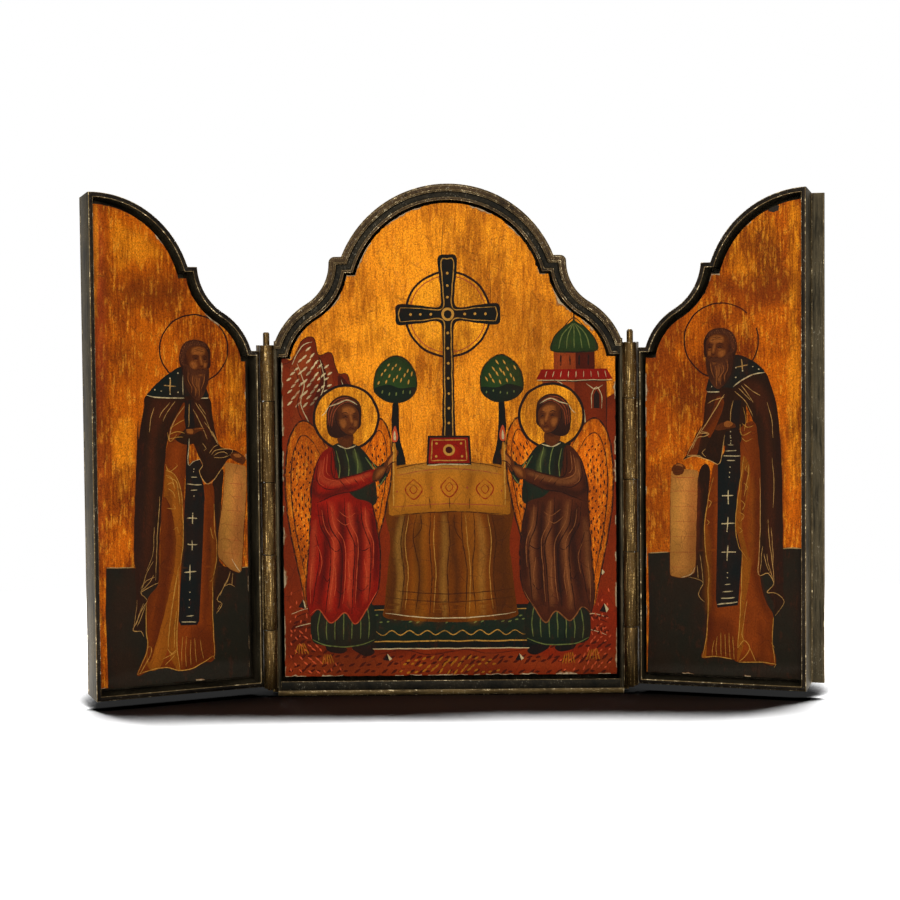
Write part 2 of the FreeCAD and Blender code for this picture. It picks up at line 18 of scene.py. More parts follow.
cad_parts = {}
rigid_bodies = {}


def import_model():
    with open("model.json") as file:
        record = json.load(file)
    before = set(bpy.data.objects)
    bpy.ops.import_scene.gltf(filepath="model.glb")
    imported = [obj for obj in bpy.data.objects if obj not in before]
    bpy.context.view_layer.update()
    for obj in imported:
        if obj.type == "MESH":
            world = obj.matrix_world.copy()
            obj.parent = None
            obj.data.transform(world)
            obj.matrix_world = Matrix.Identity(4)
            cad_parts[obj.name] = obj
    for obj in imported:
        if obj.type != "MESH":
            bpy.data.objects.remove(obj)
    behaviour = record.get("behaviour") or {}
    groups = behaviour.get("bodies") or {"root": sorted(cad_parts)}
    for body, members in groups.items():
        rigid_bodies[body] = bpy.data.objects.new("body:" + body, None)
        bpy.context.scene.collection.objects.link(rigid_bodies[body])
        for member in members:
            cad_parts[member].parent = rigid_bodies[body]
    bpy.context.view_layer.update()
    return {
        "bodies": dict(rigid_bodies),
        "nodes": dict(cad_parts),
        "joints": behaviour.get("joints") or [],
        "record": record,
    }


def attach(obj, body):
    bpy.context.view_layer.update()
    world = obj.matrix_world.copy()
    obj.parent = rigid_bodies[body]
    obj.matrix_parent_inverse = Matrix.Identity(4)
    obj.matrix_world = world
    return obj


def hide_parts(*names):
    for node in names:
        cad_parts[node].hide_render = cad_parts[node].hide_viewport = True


MM = 0.001
log = logging.getLogger("travel_icon")


# Places of the leaves
class Side(Enum):
    """The leaves of the icon, by where the viewer sees them."""

    CENTRE = "centre"
    LEFT = "left"
    RIGHT = "right"


@dataclass(frozen=True)
class Leaf:
    """One leaf's own flat frame: across, depth behind its front and height.

    Args:
        side: which leaf it is.
        body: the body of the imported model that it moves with.
        axis_x, axis_y: where its own zero stands, in millimetres.
        turn: how far it is turned forward about the upright, in degrees.
        painted: depth of the painted face behind that zero, in millimetres.
        seed: sets its own chance marks of age apart from the others'.
    """

    side: Side
    body: str
    axis_x: float
    axis_y: float
    turn: float
    painted: float
    seed: float

    def matrix(self) -> Matrix:
        """The move from the leaf's own millimetres to the scene's metres."""
        place = Matrix.Translation(Vector((self.axis_x, self.axis_y, 0.0)) * MM)
        return place @ Matrix.Rotation(math.radians(self.turn), 4, "Z") @ Matrix.Scale(MM, 4)


CENTRE = Leaf(Side.CENTRE, "centre_case", 0.0, -6.5, 0.0, 1.6, 3.0)
LEFT = Leaf(Side.LEFT, "left_wing", -53.2, -6.8, 28.7, 1.9, 17.0)
RIGHT = Leaf(Side.RIGHT, "right_wing", 53.2, -6.8, -21.3, 1.9, 31.0)


# Pigments and brush marks
Point = tuple[float, float]
Line = list[Point]
Colour = tuple[float, float, float, float]

# How many numbers of its own each kind of mark has before its points
OWN_NUMBERS = {"fill": 0, "face": 0, "disc": 0, "glaze": 1, "line": 1, "dots": 1, "ring": 1,
               "shade": 2, "comb": 2, "dabs": 3}
STROKE_TIP = 0.35
STROKE_COVER = 0.95
STROKE_WEAR = 0.55
FILL_BODY = 0.3
FACE_BODY = 0.2
DAB_WIDTH = 0.42
DOT_ANGLES = (0.3, 1.35, 2.4, 3.45, 4.5, 5.55)


def to_linear(part: float) -> float:
    """Turn one shown colour part, from 0 to 255, into linear light."""
    share = part / 255.0
    return share / 12.92 if share <= 0.04045 else ((share + 0.055) / 1.055) ** 2.4


def shown(red: float, green: float, blue: float) -> Colour:
    """A colour as the eye sees it, from 0 to 255, in the linear light that shaders use."""
    return (to_linear(red), to_linear(green), to_linear(blue), 1.0)


@dataclass(frozen=True)
class Pigment:
    """A colour of the painter's palette.

    Args:
        red, green, blue: the colour as shown, from 0 to 255.
        gilt: how far the colour is gold leaf, from 0 to 1.
    """

    red: int
    green: int
    blue: int
    gilt: float = 0.0

    def linear(self) -> Colour:
        """The colour in linear light, with the gilding as its fourth number."""
        return (*shown(self.red, self.green, self.blue)[:3], self.gilt)


PALETTE: dict[str, Pigment] = {
    "gold": Pigment(204, 120, 18, 1.0),
    "halo": Pigment(212, 134, 22, 1.0),
    "amber": Pigment(176, 84, 6, 1.0),
    # bright: lighter gold, laid on the gold leaf as painted glints
    "bright": Pigment(232, 146, 22, 1.0),
    "russet": Pigment(116, 34, 8, 0.3),
    "umber": Pigment(88, 36, 6, 0.4),
    "earth": Pigment(116, 36, 7),
    "earth_light": Pigment(150, 60, 20),
    "earth_deep": Pigment(74, 20, 6),
    "red": Pigment(150, 22, 8),
    "red_light": Pigment(212, 84, 44),
    "red_deep": Pigment(58, 8, 6),
    "brown": Pigment(74, 32, 14),
    "brown_light": Pigment(150, 88, 44),
    "brown_deep": Pigment(28, 11, 6),
    "green": Pigment(17, 27, 16),
    "green_light": Pigment(112, 120, 60),
    "green_deep": Pigment(8, 12, 8),
    "leaf": Pigment(34, 54, 20),
    "mantle": Pigment(37, 19, 7),
    "robe": Pigment(124, 52, 10),
    "robe_light": Pigment(160, 86, 18),
    "robe_deep": Pigment(76, 26, 6),
    "cowl": Pigment(14, 22, 18),
    "night": Pigment(24, 21, 12),
    "ash": Pigment(52, 46, 38),
    "dusk": Pigment(168, 144, 92),
    "black": Pigment(12, 15, 13),
    "ink": Pigment(22, 14, 10),
    "gilt": Pigment(204, 154, 84),
    "ochre": Pigment(206, 146, 58),
    "olive": Pigment(112, 54, 5),
    "olive_deep": Pigment(60, 28, 5),
    "linen": Pigment(180, 108, 22),
    "parchment": Pigment(190, 122, 52),
    "cream": Pigment(222, 196, 142),
    "rust": Pigment(170, 74, 38),
    "skin": Pigment(96, 46, 16),
    "skin_light": Pigment(176, 100, 40),
    "skin_deep": Pigment(48, 20, 10),
    "hair": Pigment(38, 18, 10),
    "grey_hair": Pigment(88, 46, 24),
    "gesso": Pigment(214, 190, 148),
    "wood": Pigment(146, 98, 58),
}


def spline(points: Line, closed: bool, step: float = 0.7) -> Line:
    """Lead a smooth line through given points.

    Args:
        points: the points, in millimetres.
        closed: True for an outline that comes back to its start.
        step: the distance between the points that come out.

    Returns:
        Points along the line.
    """
    count = len(points)
    closed = closed and count >= 3
    line = []
    for index in range(count if closed else count - 1):
        if closed:
            a, b, c, d = (points[(index + k) % count] for k in (-1, 0, 1, 2))
        else:
            a, b, c, d = (points[min(max(index + k, 0), count - 1)] for k in (-1, 0, 1, 2))
        pieces = max(1, round(math.dist(b, c) / step))
        for piece in range(pieces):
            t = piece / pieces
            weights = (-t + 2 * t * t - t ** 3, 2 - 5 * t * t + 3 * t ** 3,
                       t + 4 * t * t - 3 * t ** 3, t ** 3 - t * t)
            line.append(tuple(0.5 * sum(w * p[k] for w, p in zip(weights, (a, b, c, d)))
                              for k in (0, 1)))
    return line if closed else line + [points[-1]]


def stroke(line: Line, width: float, tapered: bool = True) -> Line:
    """Give a line the outline of one stroke of the brush.

    Args:
        line: the points along the stroke's middle.
        width: how wide it gets.
        tapered: True to draw it out thin at both ends.

    Returns:
        The stroke's closed outline.
    """
    left, right = [], []
    last = len(line) - 1
    for index, (x, z) in enumerate(line):
        before, after = line[max(index - 1, 0)], line[min(index + 1, last)]
        dx, dz = after[0] - before[0], after[1] - before[1]
        length = math.hypot(dx, dz) or 1.0
        share = min(index, last - index) / max(last, 1)
        half = width / 2 * (min(1.0, STROKE_TIP + 3.2 * share) if tapered else 1.0)
        left.append((x - dz / length * half, z + dx / length * half))
        right.append((x + dz / length * half, z - dx / length * half))
    return left + right[::-1]


def inside(point: Point, outline: Line) -> bool:
    """True if a point lies inside a closed outline.

    Args:
        point: the point.
        outline: the outline's points.

    Returns:
        True or False.
    """
    x, z = point
    odd = False
    for (ax, az), (bx, bz) in zip(outline, outline[1:] + outline[:1]):
        if (az > z) != (bz > z) and x < (bx - ax) * (z - az) / (bz - az) + ax:
            odd = not odd
    return odd


def ellipse(middle: Point, rx: float, rz: float, first: float = 0.0, last: float = 360.0) -> Line:
    """Points round an ellipse, or along a part of it given in degrees.

    Args:
        middle: its middle.
        rx, rz: how far it reaches across and up.
        first, last: where the part starts and ends.

    Returns:
        Points along it.
    """
    count = max(6, round(math.radians(last - first) * max(rx, rz) / 0.5))
    angles = [math.radians(first + (last - first) * k / count) for k in range(count + 1)]
    return [(middle[0] + rx * math.cos(a), middle[1] + rz * math.sin(a)) for a in angles]


@dataclass(frozen=True)
class Mark:
    """One closed outline in one pigment, laid over the marks before it.

    Args:
        pigment: its colour, by the palette's name.
        cover: how far it hides what lies under it, from 0 to 1.
        outline: its points, in millimetres.
        blur: the width over which its edge fades out, or 0 for a crisp edge.
        wear: how far the paint is rubbed thin in places, from 0 to 1.
        body: how much darker it gets towards its own edge, from 0 to 1.
    """

    pigment: str
    cover: float
    outline: Line
    blur: float = 0.0
    wear: float = 0.0
    body: float = 0.0


@dataclass
class Drawing:
    """A list of marks, written as plain words and millimetres.

    A mark is its kind, its pigment, its own numbers and its points. A slash starts another mark
    of the same kind, pigment and numbers, and a semicolon one with its own numbers again. A row
    that doesn't start with a kind goes on from the one before it. The kinds are:
    fill, face: points | glaze: COVER points | line: WIDTH points | shade: COVER WIDTH points |
    dots: RADIUS points | disc: x z rx rz | ring: WIDTH x z r [from to] [tallness] |
    comb: WIDTH COUNT points and as many points again | dabs: SIZE GAP TILT outline

    Args:
        across, up: where the drawing's own zero lies, in millimetres.
        side: -1 to mirror it, or else 1.
        scale: how much it is enlarged.
        dress: pigments that take the place of others.
        marks: the marks laid so far.
    """

    across: float = 0.0
    up: float = 0.0
    side: float = 1.0
    scale: float = 1.0
    dress: dict[str, str] = field(default_factory=dict)
    marks: list[Mark] = field(default_factory=list)

    def add(self, pigment: str, outline: Line, cover: float = 1.0, blur: float = 0.0,
            wear: float = 0.0, body: float = 0.0) -> None:
        """Lay one more mark."""
        pigment = self.dress.get(pigment, pigment)
        self.marks.append(Mark(pigment, cover, outline, blur, wear, body))

    def line(self, pigment: str, width: float, points: Line) -> None:
        """Lay one stroke along a smooth line."""
        outline = stroke(spline(points, False), width * self.scale)
        self.add(pigment, outline, STROKE_COVER, wear=STROKE_WEAR)

    def glaze(self, pigment: str, cover: float, outline: Line) -> None:
        """Lay a thin wash whose edge fades out."""
        sides = [max(p[axis] for p in outline) - min(p[axis] for p in outline) for axis in (0, 1)]
        self.add(pigment, outline, cover, blur=min(3.2, max(0.35, 0.42 * min(sides))))

    def comb(self, pigment: str, width: float, count: int, points: Line) -> None:
        """Lay strokes that lead over from the first half of the points to the second.

        Args:
            pigment: their colour.
            width: how wide they are.
            count: how many there are.
            points: the first stroke's points and then the last one's.
        """
        middle = len(points) // 2
        for index in range(count):
            share = index / max(count - 1, 1)
            self.line(pigment, width, [(a[0] + (b[0] - a[0]) * share, a[1] + (b[1] - a[1]) * share)
                                       for a, b in zip(points[:middle], points[middle:])])

    def dabs(self, pigment: str, size: float, gap: float, tilt: float, outline: Line) -> None:
        """Fill an outline with rows of short dabs that lean by an angle in degrees.

        Args:
            pigment: their colour.
            size: how long they are.
            gap: how far apart they lie.
            tilt: the angle.
            outline: where they lie.
        """
        xs, zs = zip(*outline)
        row, z = 0, min(zs) + gap * 0.5
        while z < max(zs):
            x = min(xs) + gap * (0.3 + 0.5 * (row % 2))
            while x < max(xs):
                sway = math.sin(x * 3.1 + z * 1.7)
                if inside((x, z), outline):
                    lean = math.radians(tilt + 18 * sway)
                    dx, dz = (math.cos(lean) * size * (1 + 0.3 * sway) / 2,
                              math.sin(lean) * size * (1 + 0.3 * sway) / 2)
                    px, pz = x + 0.2 * gap * sway, z + 0.2 * gap * math.cos(x * 2.3)
                    self.add(pigment, stroke([(px - dx, pz - dz), (px, pz), (px + dx, pz + dz)],
                                             size * DAB_WIDTH))
                x += gap
            z += gap * 0.8
            row += 1

    def lay(self, kind: str, pigment: str, own: list[float], rest: list[float]) -> None:
        """Lay one mark of any kind.

        Args:
            kind: the kind of mark.
            pigment: its colour, by the palette's name.
            own: the kind's own numbers.
            rest: the numbers that follow, mostly points.
        """
        points = [(self.across + self.side * self.scale * x, self.up + self.scale * z)
                  for x, z in zip(rest[::2], rest[1::2])]
        match kind:
            case "fill":
                self.add(pigment, spline(points, True), body=FILL_BODY)
            case "face":
                self.add(pigment, points, body=FACE_BODY)
            case "glaze":
                self.glaze(pigment, own[0], spline(points, True))
            case "line":
                self.line(pigment, own[0], points)
            case "shade":
                width = own[1] * self.scale
                self.add(pigment, stroke(spline(points, False), width), own[0], blur=width)
            case "dots":
                size = own[0] * self.scale
                for x, z in points:
                    self.add(pigment, [(x + size * math.cos(a), z + size * math.sin(a))
                                       for a in DOT_ANGLES])
            case "ring":
                radius, part = rest[2] * self.scale, rest[3:]
                tall = radius * (part.pop() if len(part) % 2 else 1.0)
                arc = ellipse(points[0], radius, tall, *part)
                self.add(pigment, stroke(arc, own[0] * self.scale, False))
            case "disc":
                rx, rz = rest[2] * self.scale, rest[3] * self.scale
                self.add(pigment, ellipse(points[0], rx, rz)[:-1])
            case "comb":
                self.comb(pigment, own[0], int(own[1]), points)
            case "dabs":
                self.dabs(pigment, *own, points)

    def rows(self, text: str) -> None:
        """Lay every mark that a block of rows names.

        Args:
            text: the rows.
        """
        words = " ".join(row for row in text.splitlines() if not row.startswith("#")).split()
        starts = [place for place, word in enumerate(words) if word in OWN_NUMBERS]
        for start, end in zip(starts, starts[1:] + [len(words)]):
            kind, pigment = words[start:start + 2]
            for group in " ".join(words[start + 2:end]).split(";"):
                first, *others = [[float(word) for word in mark.split()]
                                  for mark in group.split("/")]
                own, rest = first[:OWN_NUMBERS[kind]], first[OWN_NUMBERS[kind]:]
                for numbers in [rest, *others]:
                    self.lay(kind, pigment, own, numbers)


# Materials
def seen(tree: bpy.types.NodeTree) -> bpy.types.NodeSocket:
    """1 for the rays of the camera, of gloss and through glass, and 0 for all others.

    Args:
        tree: the node tree that asks.

    Returns:
        The socket with that number.
    """
    path = tree.nodes.new("ShaderNodeLightPath").outputs
    whole = path["Is Camera Ray"]
    for name in ("Is Glossy Ray", "Is Transmission Ray"):
        node = tree.nodes.new("ShaderNodeMath")
        node.operation = "MAXIMUM"
        tree.links.new(whole, node.inputs[0])
        tree.links.new(path[name], node.inputs[1])
        whole = node.outputs[0]
    return whole


class Nodes:
    """A material's node tree, written from the leaf's millimetres to the shader."""

    def __init__(self, name: str, leaf: Leaf | None) -> None:
        """Start a material.

        Args:
            name: the material's name.
            leaf: the leaf whose own frame the patterns follow.
        """
        self.material = bpy.data.materials.new(name)
        self.material.use_nodes = True
        self.tree = self.material.node_tree
        self.shader = self.tree.nodes["Principled BSDF"]
        self.seed = leaf.seed if leaf else 0.0
        own = self.node("TexCoord").outputs["Object"]
        place = self.node("Mapping", Vector=own, Scale=(MM, MM, MM))
        place.vector_type = "TEXTURE"
        if leaf is not None:
            place.inputs["Location"].default_value = (leaf.axis_x * MM, leaf.axis_y * MM, 0)
            place.inputs["Rotation"].default_value = (0, 0, math.radians(leaf.turn))
        self.place = place.outputs["Vector"]

    def put(self, socket: bpy.types.NodeSocket, value: object) -> None:
        """Set a socket to a number or colour, or link it to another socket.

        Args:
            socket: the socket to set.
            value: the number, the colour or the other socket.
        """
        if isinstance(value, bpy.types.NodeSocket):
            self.tree.links.new(value, socket)
        else:
            socket.default_value = value

    def node(self, kind: str, **sockets: object) -> bpy.types.Node:
        """A new node, with sockets put by their names and underscores for the spaces.

        Args:
            kind: the kind of node.
            sockets: what is put into its sockets.

        Returns:
            The node.
        """
        node = self.tree.nodes.new(f"ShaderNode{kind}")
        for name, value in sockets.items():
            self.put(node.inputs[name.replace("_", " ")], value)
        return node

    def math(self, operation: str, first: object, second: object) -> bpy.types.NodeSocket:
        """One sum.

        Args:
            operation: what is done.
            first, second: the values that it is done to.

        Returns:
            The result.
        """
        node = self.node("Math")
        node.operation = operation
        self.put(node.inputs[0], first)
        self.put(node.inputs[1], second)
        return node.outputs[0]

    def times(self, first: object, second: object) -> bpy.types.NodeSocket:
        """The product of two values."""
        return self.math("MULTIPLY", first, second)

    def total(self, *parts: tuple[object, float], base: float = 0.0) -> bpy.types.NodeSocket:
        """The sum of values that each come in with a share of their own.

        Args:
            parts: each value with its share.
            base: a number that is added at the end.

        Returns:
            The sum.
        """
        whole = self.times(*parts[0])
        for value, share in parts[1:]:
            whole = self.math("ADD", whole, self.times(value, share))
        return self.math("ADD", whole, base) if base else whole

    def stretched(self, scales: tuple[float, float, float], shift: float) -> bpy.types.NodeSocket:
        """The leaf's millimetres times three scales, so that a pattern is drawn out.

        Args:
            scales: the scales across, deep and up.
            shift: sets the pattern apart from others.

        Returns:
            The place in the pattern.
        """
        place = (self.seed + shift, shift * 0.7, self.seed * 0.3)
        node = self.node("Mapping", Vector=self.place, Scale=scales, Location=place)
        return node.outputs["Vector"]

    def noise(self, scales: tuple[float, float, float], shift: float = 0.0, detail: float = 3.0,
              rough: float = 0.55) -> bpy.types.NodeSocket:
        """Cloudy noise about 0.5.

        Args:
            scales, shift: as for stretched.
            detail: how many finer noises it holds.
            rough: how strong they are.

        Returns:
            The noise.
        """
        node = self.node("TexNoise", Vector=self.stretched(scales, shift), Scale=1.0,
                         Detail=detail, Roughness=rough)
        return node.outputs["Fac"]

    def cracks(self, scales: tuple[float, float, float], shift: float, width: float
               ) -> bpy.types.NodeSocket:
        """Thin crack lines: 1 on a line and 0 off it.

        Args:
            scales, shift: as for stretched.
            width: how wide the lines are.

        Returns:
            The lines.
        """
        node = self.node("TexVoronoi", Vector=self.stretched(scales, shift), Scale=1.0)
        node.feature = "DISTANCE_TO_EDGE"
        return self.band(node.outputs["Distance"], width, 0.0)

    def band(self, value: object, low: float, high: float) -> bpy.types.NodeSocket:
        """Lead a value from 0 at one level to 1 at another, and hold it beyond.

        Args:
            value: the value.
            low, high: the two levels.

        Returns:
            The share from 0 to 1.
        """
        node = self.node("MapRange", Value=value, From_Min=low, From_Max=high)
        node.interpolation_type = "SMOOTHSTEP" if low < high else "LINEAR"
        return node.outputs["Result"]

    def mix(self, share: object, first: object, second: object, blend: str = "MIX"
            ) -> bpy.types.NodeSocket:
        """Mix two colours.

        Args:
            share: how much of the second comes in.
            first, second: the colours.
            blend: how they are mixed.

        Returns:
            The mixed colour.
        """
        node = self.node("Mix", Factor=share)
        node.data_type = "RGBA"
        node.blend_type = blend
        self.put(node.inputs[6], first)
        self.put(node.inputs[7], second)
        return node.outputs[2]

    def finish(self, colour: object, roughness: object, metallic: object, relief: object,
               depth: float, gloss: float = 0.5) -> bpy.types.Material:
        """Join the colour, gloss and relief to the shader and hand the material over.

        Args:
            colour, roughness, metallic: what goes into the shader's sockets.
            relief: the height of the fine unevenness, from 0 to 1.
            depth: how deep that is, in millimetres.
            gloss: the shader's specular level.

        Returns:
            The material.
        """
        bump = self.node("Bump", Strength=0.5, Distance=depth * MM, Height=relief)
        values = {"Base Color": colour, "Roughness": roughness, "Metallic": metallic,
                  "Specular IOR Level": gloss, "Normal": bump.outputs["Normal"]}
        for name, value in values.items():
            self.put(self.shader.inputs[name], value)
        return self.material


@dataclass(frozen=True)
class TarnishedMetal:
    """Silvered brass sheet that has gone dark and is rubbed bright where hands touch it.

    Args:
        name: the finish in plain words.
        deep, middle, light: its colours from the tarnish to the rubbed metal.
        along: how far the streaks are drawn out, as scales across, deep and up.
        rubbed: how much of it is rubbed, from 0 to 1.
        roughness: how dull it is.
        bare: its colour in the nicks, where the metal is bare.
    """

    name: str
    deep: Colour
    middle: Colour
    light: Colour
    along: tuple[float, float, float] = (1.6, 1.6, 0.09)
    rubbed: float = 0.3
    roughness: float = 0.44
    bare: Colour = (0.5, 0.44, 0.32, 1.0)

    def material(self, leaf: Leaf) -> bpy.types.Material:
        """The finish on one leaf.

        Args:
            leaf: the leaf.

        Returns:
            The material.
        """
        nodes = Nodes(f"{leaf.side.value}_{self.name}", leaf)
        streaks = nodes.noise(self.along, 0.0, 4.0, 0.6)
        fine = nodes.noise(tuple(3.5 * scale for scale in self.along), 9.0)
        patches = nodes.noise((0.11, 0.11, 0.07), 4.0, 4.0, 0.6)
        specks = nodes.noise((2.2, 2.2, 2.2), 2.0, 4.0, 0.7)
        tone = nodes.total((streaks, 0.5), (patches, 0.5), (fine, 0.3))
        low = 0.7 - 0.2 * self.rubbed
        colour = nodes.mix(nodes.band(tone, low - 0.18, low + 0.12), self.deep, self.middle)
        rub = nodes.total((streaks, 0.5), (specks, 0.35), (fine, 0.25))
        worn = nodes.band(rub, 0.74 - 0.3 * self.rubbed, 0.84 - 0.26 * self.rubbed)
        colour = nodes.mix(worn, colour, self.light)
        nicks = nodes.times(nodes.band(nodes.noise((2.6, 2.6, 1.1), 14.0, 3.0, 0.8), 0.6, 0.7),
                            nodes.band(patches, 0.42, 0.6))
        colour = nodes.mix(nodes.times(nicks, 0.25 + 0.7 * self.rubbed), colour, self.bare)
        pits = nodes.times(nodes.band(specks, 0.4, 0.3), 0.75)
        colour = nodes.mix(pits, colour, shown(9, 7, 5))
        rough = nodes.total((patches, 0.16), base=self.roughness)
        relief = nodes.math("ADD", streaks, nodes.times(specks, 0.8))
        return nodes.finish(colour, rough, 0.9, relief, 0.06)


@dataclass(frozen=True)
class Tempera:
    """Gold leaf and egg tempera on gesso, aged and varnished, over the brushed marks.

    Args:
        grime: how dark the old varnish is.
        streak: how strong the upright streaks in the gold are.
    """

    grime: float
    streak: float

    def gilded(self, nodes: Nodes, colour: object, gilt: object, grain: object, clouds: object,
               mottle: object) -> bpy.types.NodeSocket:
        """Streaks and worn places of the gold leaf, where the bole shows through it.

        Args:
            nodes: the material's nodes.
            colour: the brushed marks' colour.
            gilt: how far it is gold leaf.
            grain, clouds, mottle: noises from upright streaks to small spots.

        Returns:
            The colour of the aged gold and paint.
        """
        streaks = nodes.times(gilt, self.streak)
        dark = nodes.band(nodes.total((grain, 0.6), (clouds, 0.5)), 0.62, 0.47)
        colour = nodes.mix(nodes.times(dark, streaks), colour, shown(112, 40, 4))
        bright = nodes.band(nodes.total((grain, 0.5), (mottle, 0.5)), 0.52, 0.66)
        colour = nodes.mix(nodes.times(bright, streaks), colour, shown(250, 172, 40))
        worn = nodes.band(nodes.times(mottle, nodes.math("ADD", grain, 0.5)), 0.56, 0.7)
        worn = nodes.times(worn, nodes.total((gilt, 0.44), base=0.06))
        return nodes.mix(worn, colour, shown(140, 52, 18))

    def material(self, leaf: Leaf) -> bpy.types.Material:
        """The painted ground of one leaf.

        Args:
            leaf: the leaf.

        Returns:
            The material.
        """
        nodes = Nodes(f"{leaf.side.value}_tempera_and_gold", leaf)
        paint = nodes.node("Attribute")
        paint.attribute_name = "paint"
        colour, gilt = paint.outputs["Color"], paint.outputs["Alpha"]
        grain = nodes.noise((1.3, 1.0, 0.16), 0.0, 5.0, 0.65)
        clouds = nodes.noise((0.07, 0.07, 0.045), 5.0, 3.0, 0.6)
        mottle = nodes.noise((0.5, 0.5, 0.3), 8.0, 5.0, 0.7)
        grit = nodes.noise((2.5, 2.5, 1.8), 3.0, 4.0, 0.8)
        colour = self.gilded(nodes, colour, gilt, grain, clouds, mottle)
        specks = nodes.times(nodes.band(grit, 0.56, 0.68), nodes.total((gilt, 0.34), base=0.1))
        colour = nodes.mix(specks, colour, shown(62, 28, 10))
        varnish = nodes.times(nodes.band(clouds, 0.62, 0.36), self.grime)
        colour = nodes.mix(varnish, colour, shown(52, 24, 8))
        swing = nodes.times(nodes.math("SUBTRACT", nodes.band(grit, 0.3, 0.68), 0.5),
                            nodes.total((gilt, 0.45), base=0.4))
        value = nodes.times(nodes.total((mottle, 0.42), base=0.78),
                            nodes.math("SUBTRACT", 1.0, swing))
        tint = nodes.node("CombineColor", Red=value, Green=value, Blue=value).outputs[0]
        colour = nodes.mix(1.0, colour, tint, "MULTIPLY")
        net = nodes.times(nodes.cracks((0.32, 0.32, 0.2), 6.0, 0.035),
                          nodes.band(mottle, 0.42, 0.6))
        colour = nodes.mix(nodes.times(net, 0.45), colour, shown(30, 14, 7))
        rough = nodes.total((grit, 0.2), base=0.36)
        relief = nodes.math("SUBTRACT", nodes.total((grain, 0.5), (grit, 0.5)), net)
        return nodes.finish(colour, rough, nodes.times(gilt, 0.4), relief, 0.06, gloss=0.05)


@dataclass(frozen=True)
class OldWood:
    """The bare board behind the paint."""

    def material(self, leaf: Leaf) -> bpy.types.Material:
        """The board of one leaf.

        Args:
            leaf: the leaf.

        Returns:
            The material.
        """
        nodes = Nodes(f"{leaf.side.value}_old_wood", leaf)
        grain = nodes.noise((1.2, 1.2, 0.06), 0.0, 4.0, 0.6)
        colour = nodes.mix(nodes.band(grain, 0.35, 0.65), shown(16, 9, 5), shown(54, 32, 18))
        return nodes.finish(colour, 0.85, 0.0, grain, 0.1, gloss=0.1)


class Metals(Enum):
    """The metal finishes of the icon."""

    WALL = TarnishedMetal("wall", shown(25, 22, 14), shown(72, 63, 45), shown(126, 112, 82),
                          rubbed=0.25, roughness=0.56)
    MOULDING = TarnishedMetal("moulding", shown(11, 7, 3), shown(50, 36, 19),
                              shown(160, 138, 98), along=(0.7, 0.7, 0.6), rubbed=0.4)
    SILL = TarnishedMetal("sill", shown(26, 19, 7), shown(72, 56, 27), shown(182, 162, 116),
                          along=(0.16, 0.8, 1.3), rubbed=0.42, roughness=0.42)
    CHANNEL = TarnishedMetal("channel", shown(8, 7, 4), shown(30, 25, 15), shown(92, 60, 34),
                             along=(0.6, 0.6, 0.5), rubbed=0.16)
    RIM = TarnishedMetal("rim", shown(9, 6, 3), shown(28, 20, 11), shown(112, 92, 60),
                         along=(0.8, 0.8, 0.4), rubbed=0.18)
    HINGE = TarnishedMetal("hinge", shown(10, 7, 2), shown(66, 47, 17), shown(214, 178, 112),
                           along=(3.0, 3.0, 0.1), rubbed=0.52, roughness=0.36)
    EDGE = TarnishedMetal("edge", shown(20, 14, 7), shown(92, 75, 46), shown(214, 194, 150),
                          along=(0.5, 0.5, 0.4), rubbed=0.56, roughness=0.36)
    BACK = TarnishedMetal("back", shown(30, 26, 19), shown(64, 57, 43), shown(108, 98, 76),
                          along=(0.4, 0.4, 0.05), rubbed=0.2, roughness=0.5)
